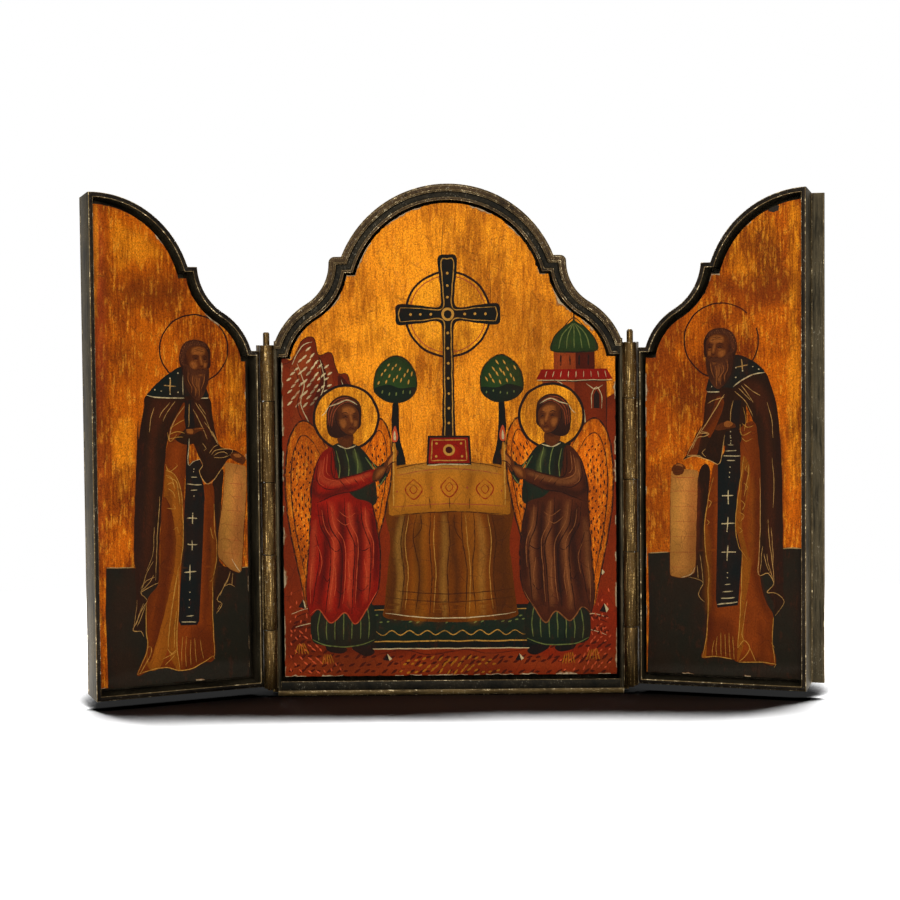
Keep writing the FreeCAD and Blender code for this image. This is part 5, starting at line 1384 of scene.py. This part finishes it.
@dataclass
class Workshop:
    """What every sub-assembly needs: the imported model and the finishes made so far.

    Args:
        frame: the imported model, as loaded.
        finishes: the metal finishes, by leaf and name.
    """

    frame: dict
    finishes: dict[str, bpy.types.Material] = field(default_factory=dict)

    def finish(self, metal: Metals, leaf: Leaf) -> bpy.types.Material:
        """A metal finish on a leaf, made once.

        Args:
            metal: the finish.
            leaf: the leaf.

        Returns:
            The material.
        """
        key = f"{leaf.side.value}_{metal.value.name}"
        if key not in self.finishes:
            self.finishes[key] = metal.value.material(leaf)
        return self.finishes[key]

    def copy(self, node: str) -> bpy.types.Object:
        """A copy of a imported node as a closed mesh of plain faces.

        Args:
            node: the node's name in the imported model.

        Returns:
            The copy, selected and active.
        """
        source = self.frame["nodes"][node]
        piece = bpy.data.objects.new(f"{node}_worn", source.data.copy())
        piece.data.materials.clear()
        bpy.context.scene.collection.objects.link(piece)
        pick(piece)
        bpy.ops.object.mode_set(mode="EDIT")
        bpy.ops.mesh.select_all(action="SELECT")
        bpy.ops.mesh.remove_doubles(threshold=WELD)
        bpy.ops.mesh.dissolve_limited(angle_limit=FLAT_ANGLE)
        bpy.ops.object.mode_set(mode="OBJECT")
        return piece

    def ease(self, piece: bpy.types.Object, width: float, segments: int = 2) -> None:
        """Round a piece's sharp edges, and give the new faces the second material.

        Args:
            piece: the piece.
            width: how wide the rounding is, in millimetres.
            segments: how many faces lead round an edge.
        """
        bevel = piece.modifiers.new("worn_edges", "BEVEL")
        bevel.width = width * MM
        bevel.segments = segments
        bevel.limit_method = "ANGLE"
        bevel.angle_limit = SHARP_ANGLE
        bevel.material = 1
        bevel.use_clamp_overlap = True
        pick(piece)
        bpy.ops.object.modifier_apply(modifier=bevel.name)
        bpy.ops.object.shade_smooth_by_angle(angle=SMOOTH_ANGLE)

    def seat(self, piece: bpy.types.Object, node: str, slot: str) -> None:
        """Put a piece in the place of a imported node."""
        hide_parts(node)
        self.hand_over(piece, self.body(node), slot)

    def hand_over(self, piece: bpy.types.Object, body: str, slot: str) -> None:
        """Tie a finished piece to its body.

        Args:
            piece: the piece.
            body: the body that it moves with.
            slot: not used.
        """
        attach(piece, body)
        log.info("%s: %d faces", piece.name, len(piece.data.polygons))

    def body(self, node: str) -> str:
        """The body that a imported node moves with."""
        bodies = self.frame["record"]["behaviour"]["bodies"]
        return next(name for name, nodes in bodies.items() if node in nodes)

    def worn(self, node: str, leaf: Leaf, metal: Metals, slot: str, width: float = 0.2,
             segments: int = 2, edge: Metals = Metals.EDGE) -> bpy.types.Object:
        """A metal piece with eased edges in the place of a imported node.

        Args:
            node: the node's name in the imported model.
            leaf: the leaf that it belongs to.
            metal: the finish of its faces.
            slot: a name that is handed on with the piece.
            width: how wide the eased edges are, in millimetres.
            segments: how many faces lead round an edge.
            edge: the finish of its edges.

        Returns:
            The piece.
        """
        piece = self.copy(node)
        for part in (metal, edge):
            piece.data.materials.append(self.finish(part, leaf))
        self.ease(piece, width, segments)
        self.seat(piece, node, slot)
        return piece

    def board(self, node: str, leaf: Leaf) -> None:
        """Give a packed wooden board its material, and leave its mesh as it is.

        Args:
            node: the board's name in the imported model.
            leaf: the leaf that it belongs to.
        """
        materials = self.frame["nodes"][node].data.materials
        materials.clear()
        materials.append(OldWood().material(leaf))


@dataclass
class Painting:
    """A painted ground: a thin slab whose front is cut up along the brush marks.

    Args:
        leaf: the leaf that it belongs to.
        node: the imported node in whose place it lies.
        ground: the pigment under all marks.
        drawing: the marks.
        mirror: -1 where the drawing's across runs to the viewer's left, or else 1.
        thickness: in millimetres.
        chipped: how much of its edge has lost its paint; less than 0 for a sound edge.
    """

    leaf: Leaf
    node: str
    ground: str
    drawing: Drawing
    mirror: float = 1.0
    thickness: float = 0.5
    chipped: float = 0.08

    def outline(self, shop: Workshop) -> Line:
        """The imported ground's front outline, in the leaf's own millimetres.

        Args:
            shop: the workshop.

        Returns:
            Its points, from the lowest corner.
        """
        mesh = bmesh.new()
        mesh.from_mesh(shop.frame["nodes"][self.node].data)
        bmesh.ops.remove_doubles(mesh, verts=mesh.verts, dist=WELD)
        away = self.leaf.matrix().to_3x3() @ Vector((0, -1, 0))
        front = {face for face in mesh.faces if face.normal.dot(away) > 0.9 * away.length}
        follow = {}
        for face in front:
            for loop in face.loops:
                others = [other for other in loop.edge.link_faces if other not in front]
                if others:
                    follow[loop.vert] = loop.link_loop_next.vert
        first = vertex = min(follow, key=lambda v: (round(v.co.z / MM, 2),
                                                    round(v.co.x / MM, 2)))
        back = self.leaf.matrix().inverted()
        points = []
        while True:
            place = back @ vertex.co
            points.append((place.x * self.mirror, place.z))
            vertex = follow[vertex]
            if vertex is first:
                break
        mesh.free()
        return points

    def chance(self, x: float, z: float, coarse: float, fine: float, share: float,
               shift: float = 0.0) -> float:
        """A chance value at a point: a coarse noise and a share of a fine one.

        Args:
            x, z: the point, in millimetres.
            coarse, fine: the scales of the two noises.
            share: how much of the fine one comes in.
            shift: sets the noise apart from others on the same leaf.

        Returns:
            A number about 0.
        """
        seed = self.leaf.seed + shift
        return (noise.noise(Vector((x * coarse, seed, z * coarse)))
                + share * noise.noise(Vector((x * fine, seed, z * fine))))

    def worn_outline(self, points: Line) -> Line:
        """The outline with the small nicks of a cut and handled edge.

        Args:
            points: the outline.

        Returns:
            The nicked outline.
        """
        worn = []
        middle = middle_of(points)
        for a, b in zip(points, points[1:] + points[:1]):
            pieces = max(1, round(math.dist(a, b) / EDGE_STEP))
            for k in range(pieces):
                x = a[0] + (b[0] - a[0]) * k / pieces
                z = a[1] + (b[1] - a[1]) * k / pieces
                inward = 0.1 + 0.42 * max(0.0, self.chance(x, z, 0.55, 1.7, 0.5))
                away = math.hypot(middle[0] - x, middle[1] - z)
                worn.append((x + (middle[0] - x) / away * inward,
                             z + (middle[1] - z) / away * inward))
        return worn

    def exposed_edges(self, points: Line) -> None:
        """Bare gesso and wood along the ground's edge, wider where paint has chipped off.

        Args:
            points: the ground's outline.
        """
        spots: list[list[tuple[float, float, float, float]]] = [[]]
        middle = middle_of(points)
        for x, z in points + points[:1]:
            loss = self.chance(x, z, 0.16, 0.9, 0.55, 5.0) + self.chipped
            if loss > 0:
                away = math.hypot(middle[0] - x, middle[1] - z)
                deep = min(1.6, 0.16 + 1.5 * loss ** 1.6)
                spots[-1].append((x, z, (middle[0] - x) / away * deep,
                                  (middle[1] - z) / away * deep))
            elif spots[-1]:
                spots.append([])
        for spot in (s for s in spots if len(s) > 2):
            outer, inner, core = ([(x + share * dx, z + share * dz) for x, z, dx, dz in spot]
                                  for share in (-0.6, 1.0, 0.55))
            self.drawing.add("wood", outer + inner[::-1], 0.8, wear=0.6)
            self.drawing.add("gesso", outer + core[::-1], 0.85, wear=0.9)

    def shaken(self, outline: Line) -> Line:
        """Marks drawn with a hand that isn't quite steady.

        Args:
            outline: a mark's outline.

        Returns:
            The outline as the hand draws it.
        """
        moved = []
        for x, z in outline:
            push = noise.noise_vector(Vector((x * 0.35, self.leaf.seed, z * 0.35)))
            moved.append((x + 0.16 * push.x, z + 0.16 * push.z))
        return moved

    def grid(self, edge: Line, marks: list[Mark]) -> list[Vector]:
        """Points between the marks, close together where small soft marks need them.

        Args:
            edge: the ground's outline.
            marks: all marks.

        Returns:
            The points, each pushed a little off its place.
        """
        cells = {}
        low, high = np.min(edge, axis=0), np.max(edge, axis=0)
        areas = [(low, high, EDGE_STEP)]
        for mark in marks:
            ends = np.min(mark.outline, axis=0), np.max(mark.outline, axis=0)
            if 0 < mark.blur < SMALL_BLUR:
                areas.append((ends[0] - mark.blur / 2, ends[1] + mark.blur / 2, FINE_STEP))
        for low, high, step in areas:
            for across in range(math.floor(low[0] / step), math.ceil(high[0] / step) + 1):
                for up in range(math.floor(low[1] / step), math.ceil(high[1] / step) + 1):
                    push = noise.noise_vector(Vector((across * 0.73, step * 50, up * 0.73)))
                    cells[step, across, up] = ((across + 0.4 * push.x) * step,
                                               (up + 0.4 * push.z) * step)
        spots = np.array(list(cells.values()))
        return [Vector(spot) for spot in spots[winding(spots, edge) != 0]]

    def build(self, shop: Workshop) -> bpy.types.Object:
        """Cut the front along all marks and colour each small face by the marks on it.

        Args:
            shop: the workshop.

        Returns:
            The painted ground.
        """
        edge = self.worn_outline(self.outline(shop))
        self.exposed_edges(edge)
        marks = [replace(m, outline=self.shaken(m.outline)) for m in self.drawing.marks]
        points, links = self.grid(edge, marks), []
        for outline in [edge] + [m.outline for m in marks if not m.blur]:
            start = len(points)
            points.extend(Vector(p) for p in outline)
            links.extend((start + k, start + (k + 1) % len(outline)) for k in range(len(outline)))
        flat, _, faces, *_ = delaunay_2d_cdt(points, links, [], 0, 1e-4)
        spots = np.array([(v.x, v.y) for v in flat])
        faces = np.array(faces)
        faces = faces[winding(spots[faces].mean(axis=1), edge) != 0]
        return self.slab(shop, spots, faces, self.coloured(spots, faces, marks))

    def coloured(self, spots: np.ndarray, faces: np.ndarray, marks: list[Mark]) -> np.ndarray:
        """Lay the marks one after another on the corners of the small faces.

        Args:
            spots: the front's points, across and up, in millimetres.
            faces: three point numbers for each small face.
            marks: all marks, the lowest first.

        Returns:
            One colour for each corner of each small face.
        """
        centres = spots[faces].mean(axis=1)
        rubbed = np.array([noise.noise(Vector((x * 0.9, self.leaf.seed, z * 0.9)))
                           for x, z in centres])
        colours = np.tile(np.array(PALETTE[self.ground].linear()), (len(faces), 3, 1))
        for mark in marks:
            pigment = np.array(PALETTE[mark.pigment].linear())
            if mark.blur:
                cover = reach(spots, mark.outline, mark.blur)[faces] * mark.cover
                colours += (pigment - colours) * cover[..., None]
                continue
            under = np.flatnonzero(winding(centres, mark.outline) != 0)
            thin = 1 - mark.wear * np.clip(0.1 + 1.6 * rubbed[under], 0, 1)
            laid = np.repeat(pigment[None], len(under) * 3, axis=0).reshape(-1, 3, 4)
            if mark.body:
                depth = reach(spots[faces[under]].reshape(-1, 2), mark.outline, BODY_REACH, False)
                laid[..., :3] *= (1 + mark.body * (depth.reshape(-1, 3, 1) * 1.7 - 0.6))
            colours[under] += (laid - colours[under]) * (thin * mark.cover)[:, None, None]
        return colours

    def slab(self, shop: Workshop, spots: np.ndarray, faces: np.ndarray, colours: np.ndarray
             ) -> bpy.types.Object:
        """Stand the cut front up on the leaf and give it its thickness.

        Args:
            shop: the workshop.
            spots: the front's points, across and up, in millimetres.
            faces: three point numbers for each small face.
            colours: one colour for each corner of each small face.

        Returns:
            The painted ground.
        """
        place = self.leaf.matrix()
        mesh = bmesh.new()
        paint = mesh.loops.layers.float_color.new("paint")
        used = {}
        for number in np.unique(faces):
            x, z = spots[number]
            used[int(number)] = mesh.verts.new(
                place @ Vector((x * self.mirror, self.leaf.painted, z)))
        for corners, shades in zip(faces, colours):
            if self.mirror < 0:
                corners, shades = corners[::-1], shades[::-1]
            face = mesh.faces.new([used[int(c)] for c in corners])
            for loop, shade in zip(face.loops, shades):
                loop[paint] = shade
        rim = [e for e in mesh.edges if len(e.link_faces) == 1]
        deep = place.to_3x3() @ Vector((0, self.thickness, 0))
        grown = bmesh.ops.extrude_edge_only(mesh, edges=rim)["geom"]
        for vertex in (g for g in grown if isinstance(g, bmesh.types.BMVert)):
            vertex.co += deep
        back_rim = [e for e in mesh.edges if len(e.link_faces) == 1]
        bmesh.ops.contextual_create(mesh, geom=back_rim)
        bare = PALETTE["wood"].linear()
        for face in (f for f in mesh.faces if len(f.verts) != 3):
            for loop in face.loops:
                loop[paint] = bare
        bmesh.ops.recalc_face_normals(mesh, faces=mesh.faces)
        data = bpy.data.meshes.new(f"{self.leaf.side.value}_painting")
        mesh.to_mesh(data)
        mesh.free()
        piece = bpy.data.objects.new(data.name, data)
        bpy.context.scene.collection.objects.link(piece)
        shop.seat(piece, self.node, "tempera_and_gold")
        return piece


def winding(spots: np.ndarray, outline: Line) -> np.ndarray:
    """How often an outline goes round each spot.

    Args:
        spots: places, across and up.
        outline: a closed outline, which may cross itself.

    Returns:
        One number for each spot, 0 where it lies outside.
    """
    ring = np.array(outline)
    turns = np.zeros(len(spots), dtype=int)
    low, high = ring.min(axis=0), ring.max(axis=0)
    near = np.flatnonzero(((spots >= low) & (spots <= high)).all(axis=1))
    if len(near) == 0:
        return turns
    x, z = spots[near, 0][:, None], spots[near, 1][:, None]
    after = np.roll(ring, -1, axis=0)
    ax, az, bx, bz = ring[:, 0], ring[:, 1], after[:, 0], after[:, 1]
    side = (bx - ax) * (z - az) - (x - ax) * (bz - az)
    turns[near] = ((az <= z) & (bz > z) & (side > 0)).sum(axis=1)
    turns[near] -= ((az > z) & (bz <= z) & (side < 0)).sum(axis=1)
    return turns


def reach(spots: np.ndarray, outline: Line, width: float,
          centred: bool = True) -> np.ndarray:
    """How far inside an outline each spot lies.

    Args:
        spots: places, across and up.
        outline: a closed outline.
        width: the width over which the value climbs from 0 to 1.
        centred: True to centre the climb on the outline, or False to start it there.

    Returns:
        A smooth share for each spot, 0 outside and 1 well inside.
    """
    ring = np.array(outline)
    share = np.zeros(len(spots))
    low, high = ring.min(axis=0) - width / 2, ring.max(axis=0) + width / 2
    near = np.flatnonzero(((spots >= low) & (spots <= high)).all(axis=1))
    run = np.roll(ring, -1, axis=0) - ring
    length = np.maximum((run * run).sum(axis=1), 1e-9)
    for part in np.array_split(near, len(near) // BATCH + 1):
        gap = spots[part][:, None] - ring
        along = np.clip((gap * run).sum(axis=2) / length, 0, 1)
        away = np.linalg.norm(gap - along[..., None] * run, axis=2).min(axis=1)
        away[winding(spots[part], outline) == 0] *= -1
        share[part] = np.clip(away / width + 0.5 * centred, 0, 1)
    return share * share * (3 - 2 * share)


@dataclass
class CentreCase:
    """The leaf that stands on the table: tray, mouldings, board and painting.

    Args:
        shop: the workshop.
        leaf: its place.
    """

    shop: Workshop
    leaf: Leaf = CENTRE

    def build(self) -> None:
        """Build and dress every piece of the centre case."""
        for name in ("arch_wall", "left_wall", "right_wall", "bottom_wall"):
            self.shop.worn(f"centre_{name}", self.leaf, Metals.WALL, "case_metal", 0.1,
                           edge=Metals.RIM)
        for name, metal, slot, width, segments in (
            ("back_plate", Metals.BACK, "case_metal", 0.25, 2),
            ("arch_moulding", Metals.MOULDING, "worn_moulding", 0.32, 3),
            ("bottom_moulding", Metals.SILL, "worn_moulding", 0.28, 3),
            ("arch_channel", Metals.CHANNEL, "case_metal", 0.1, 2),
            ("bottom_channel", Metals.CHANNEL, "case_metal", 0.15, 2),
            ("arch_bead", Metals.MOULDING, "worn_moulding", 0.16, 3),
        ):
            self.shop.worn(f"centre_{name}", self.leaf, metal, slot, width, segments)
        self.shop.board("centre_icon_board", self.leaf)

    def paint(self) -> None:
        """Paint the centre panel."""
        drawing = Drawing()
        drawing.rows(ALTAR_SCENE)
        for across, side, cloth in ((-31.2, 1.0, "red"), (31.2, -1.0, "brown")):
            attendant = Drawing(across, 12.5, side, 1.03, marks=drawing.marks,
                                dress={"m0": cloth, "m1": f"{cloth}_light", "m2": f"{cloth}_deep",
                                       "t0": "green", "t1": "green_light", "t2": "green_deep"})
            attendant.rows(WINGED_ATTENDANT)
        painting = Painting(self.leaf, "centre_painted_ground", "gold", drawing)
        piece = painting.build(self.shop)
        piece.data.materials.append(Tempera(0.28, 0.6).material(self.leaf))


@dataclass
class Wing:
    """A folding leaf: leaning tray walls, rim, board and painting.

    Args:
        shop: the workshop.
        leaf: its place.
        figure, halo: the rows of its picture.
        head_across, head_up: where the head's own zero lies, in millimetres.
    """

    shop: Workshop
    leaf: Leaf
    figure: str
    halo: str
    head_across: float
    head_up: float

    def build(self) -> None:
        """Build and dress every piece of the wing."""
        shop, leaf, side = self.shop, self.leaf, self.leaf.side.value
        for name in ("free_wall", "hinge_wall", "top_wall", "bottom_wall"):
            shop.worn(f"{side}_wing_{name}", leaf, Metals.WALL, "case_metal", 0.1,
                      edge=Metals.WALL)
        shop.worn(f"{side}_wing_back_plate", leaf, Metals.BACK, "case_metal", 0.2)
        shop.worn(f"{side}_wing_rim", leaf, Metals.RIM, "worn_moulding", 0.2)
        if leaf.side is Side.RIGHT:
            shop.worn("right_wing_closing_strip", leaf, Metals.WALL, "case_metal", 0.25, 3)
        shop.board(f"{side}_wing_icon_board", leaf)

    def paint(self) -> None:
        """Paint the wing's standing elder."""
        drawing = Drawing()
        drawing.rows(self.halo)
        drawing.rows(self.figure)
        head = Drawing(self.head_across, self.head_up, -1.0, 0.98, marks=drawing.marks)
        head.rows(ELDER_HEAD)
        mirror = -1.0 if self.leaf.side is Side.LEFT else 1.0
        painting = Painting(self.leaf, f"{self.leaf.side.value}_wing_painted_ground", "amber",
                            drawing, mirror, chipped=-0.14)
        piece = painting.build(self.shop)
        piece.data.materials.append(Tempera(0.35, 0.85).material(self.leaf))


@dataclass
class Hinge:
    """Five knuckles round a wire pin, and the two strips that close the gap behind them.

    Args:
        shop: the workshop.
        leaf: the wing that turns on it.
        knuckles: how many there are.
        head: where the strips end, in millimetres above the table.
    """

    shop: Workshop
    leaf: Leaf
    knuckles: int = 5
    head: float = 103.4

    def build(self) -> None:
        """Build and dress the knuckles, the pin and the strips."""
        side = self.leaf.side.value
        for number in range(1, self.knuckles + 1):
            self.shop.worn(f"{side}_hinge_knuckle_{number}", self.leaf, Metals.HINGE,
                           "hinge_metal", 0.14, 2)
        self.shop.worn(f"{side}_hinge_pin", self.leaf, Metals.HINGE, "hinge_metal", 0.1, 2)
        out = -1.0 if self.leaf.side is Side.LEFT else 1.0
        self.strip("wing", self.leaf, (0.35 * out, 2.3), (1.4 * out, 4.3), 2.4)
        fixed = replace(self.leaf, body=CENTRE.body, turn=0.0)
        self.strip("case", fixed, (-0.3 * out, 4.65), (-2.15 * out, 5.35), 0.4)

    def strip(self, name: str, leaf: Leaf, near: tuple[float, float], far: tuple[float, float],
              foot: float) -> bpy.types.Object:
        """One upright strip of sheet with hammered sides.

        Args:
            name: which side of the hinge it is on.
            leaf: the frame that it stands in.
            near, far: two corners of its section, across and deep.
            foot: where it starts, in millimetres above the table.

        Returns:
            The strip.
        """
        alone()
        bpy.ops.mesh.primitive_cube_add(size=1.0)
        piece = bpy.context.active_object
        piece.name = f"{self.leaf.side.value}_hinge_{name}_strip"
        bpy.ops.object.mode_set(mode="EDIT")
        bpy.ops.transform.resize(value=(abs(far[0] - near[0]), far[1] - near[1],
                                        self.head - foot))
        bpy.ops.transform.translate(value=((far[0] + near[0]) / 2, (far[1] + near[1]) / 2,
                                           (self.head + foot) / 2))
        for cut in range(1, STRIP_CUTS):
            level = foot + (self.head - foot) * cut / STRIP_CUTS
            bpy.ops.mesh.select_all(action="SELECT")
            bpy.ops.mesh.bisect(plane_co=(0, 0, level), plane_no=(0, 0, 1))
        bpy.ops.object.mode_set(mode="OBJECT")
        for vertex in piece.data.vertices:
            push = noise.noise_vector(vertex.co * 0.21 + Vector((leaf.seed, 0, 0)))
            vertex.co.x += 0.05 * push.x
            vertex.co.y += 0.05 * push.y
        piece.data.transform(leaf.matrix())
        for _ in ("faces", "edges"):
            piece.data.materials.append(self.shop.finish(Metals.HINGE, self.leaf))
        self.shop.ease(piece, 0.08, 1)
        self.shop.hand_over(piece, leaf.body, "hinge_metal")
        return piece


# Stage
@dataclass
class Studio:
    """The pale floor, the soft lights and the camera.

    Args:
        target: the point that the camera looks at.
        distance: how far off it stands.
        pitch, yaw, roll: how it is turned, in degrees.
        lens: its focal length, in millimetres.
    """

    target: tuple[float, float, float] = (0.00029, -0.0068, 0.0722)
    distance: float = 0.6814
    pitch: float = 3.12
    yaw: float = 0.02
    roll: float = -0.53
    lens: float = 92.9

    def world(self) -> None:
        """A white surround for the camera and for gloss, and a dim one for the rest."""
        world = bpy.data.worlds.new("studio")
        bpy.context.scene.world = world
        world.use_nodes = True
        tree = world.node_tree
        strength = tree.nodes.new("ShaderNodeMapRange")
        strength.inputs["To Min"].default_value = 0.04
        tree.links.new(seen(tree), strength.inputs["Value"])
        background = tree.nodes["Background"]
        background.inputs["Color"].default_value = (1, 1, 1, 1)
        tree.links.new(strength.outputs["Result"], background.inputs["Strength"])

    def floor_material(self) -> bpy.types.Material:
        """Pale with a painted shadow, nearly black close to the icon and behind it, and white light far
        off.

        Returns:
            The floor's material.
        """
        nodes = Nodes("pale_floor", None)
        shows = seen(nodes.tree)
        # painted shadow: where ambient occlusion finds the icon close by, the floor's colour goes
        # nearly black
        leaning = nodes.node("CombineXYZ", Y=-0.6, Z=0.8).outputs[0]
        close = nodes.node("AmbientOcclusion", Normal=leaning, Distance=0.07)
        close.samples = 32
        pale = nodes.mix(nodes.band(close.outputs["AO"], 0.68, 0.9), (0.001, 0.001, 0.001, 1),
                         (0.16, 0.16, 0.16, 1))
        base = nodes.mix(shows, (0.02, 0.02, 0.02, 1), pale)
        for name, value in (("Base Color", base), ("Roughness", 1.0), ("Specular IOR Level", 0.0)):
            nodes.put(nodes.shader.inputs[name], value)
        far = nodes.node("VectorMath")
        far.operation = "LENGTH"
        nodes.put(far.inputs[0], nodes.place)
        share = nodes.times(nodes.band(far.outputs["Value"], 190.0, 330.0), shows)
        white = nodes.node("Emission", Strength=1.0)
        mixed = nodes.node("MixShader")
        for socket, value in zip(mixed.inputs, (share, nodes.shader.outputs[0], white.outputs[0])):
            nodes.put(socket, value)
        nodes.put(nodes.tree.nodes["Material Output"].inputs["Surface"], mixed.outputs[0])
        return nodes.material

    def floor(self) -> None:
        """A round floor, and the two groups by which lamps tell it from the rest."""
        alone()
        bpy.ops.mesh.primitive_circle_add(vertices=96, radius=6.0, fill_type="NGON",
                                          location=(0, 0, -0.00004))
        floor = bpy.context.active_object
        floor.name = "floor"
        floor.data.materials.append(self.floor_material())
        for lit in ("floor_alone", "all_but_floor"):
            group = bpy.data.collections.new(lit)
            group.objects.link(floor)
        group.collection_objects[0].light_linking.link_state = "EXCLUDE"

    def lamp(self, name: str, place: tuple[float, float, float], size: tuple[float, float],
             power: float, aim: tuple[float, float, float] = (0.0, 0.0, 0.075),
             lit: str = "all_but_floor") -> None:
        """One soft box.

        Args:
            name: the lamp's name.
            place: where it stands.
            size: its width and height.
            power: in watts.
            aim: the point that it looks at.
            lit: the group of objects that it lights.
        """
        data = bpy.data.lights.new(name, "AREA")
        data.shape = "RECTANGLE"
        data.size, data.size_y = size
        data.energy = power
        lamp = bpy.data.objects.new(name, data)
        lamp.location = place
        lamp.rotation_euler = (Vector(aim) - Vector(place)).to_track_quat("-Z", "Y").to_euler()
        lamp.visible_camera = False
        lamp.light_linking.receiver_collection = bpy.data.collections[lit]
        bpy.context.scene.collection.objects.link(lamp)

    def camera(self) -> None:
        """The camera, where the photograph was taken from."""
        pitch, yaw, roll = (math.radians(a) for a in (self.pitch, self.yaw, self.roll))
        back = Vector((math.sin(yaw) * math.cos(pitch), -math.cos(yaw) * math.cos(pitch),
                       math.sin(pitch)))
        right = (-back).cross(Vector((0, 0, 1))).normalized()
        up = right.cross(-back)
        across = right * math.cos(roll) + up * math.sin(roll)
        upward = up * math.cos(roll) - right * math.sin(roll)
        data = bpy.data.cameras.new("camera")
        data.lens = self.lens
        data.sensor_width = 36.0
        data.clip_start, data.clip_end = 0.01, 50.0
        camera = bpy.data.objects.new("camera", data)
        turn = Matrix((across, upward, back)).transposed().to_4x4()
        camera.matrix_world = Matrix.Translation(Vector(self.target) + back * self.distance) @ turn
        bpy.context.scene.collection.objects.link(camera)
        bpy.context.scene.camera = camera

    def build(self) -> None:
        """Set up the whole stage."""
        scene = bpy.context.scene
        scene.view_settings.view_transform = "Standard"
        self.world()
        self.floor()
        self.lamp("front_box", (-0.28, -1.2, 0.5), (0.3, 0.3), 7.6)
        self.lamp("front_fill", (0.5, -1.15, 0.3), (0.3, 0.3), 4.0)
        self.lamp("top_box", (0.02, 0.3, 0.75), (0.25, 0.25), 4.0)
        self.lamp("back_box", (0.1, 1.3, 0.3), (0.4, 0.4), 8.0)
        self.lamp("floor_box", (0.03, 0.45, 1.25), (1.1, 0.24), 480.0, (0.0, 0.0, 0.0),
                  "floor_alone")
        self.camera()


def main() -> None:
    """Build the icon piece by piece and set it on the stage."""
    logging.basicConfig(level=logging.INFO, format="%(name)s: %(message)s")
    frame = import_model()
    shop = Workshop(frame)
    case = CentreCase(shop)
    case.build()
    case.paint()
    wings = (
        Wing(shop, LEFT, LEFT_ELDER, LEFT_HALO, 21.7, 99.2),
        Wing(shop, RIGHT, RIGHT_ELDER, RIGHT_HALO, 26.6, 101.2),
    )
    for wing in wings:
        wing.build()
        wing.paint()
        Hinge(shop, wing.leaf).build()
    Studio().build()


if __name__ == "__main__":
    main()
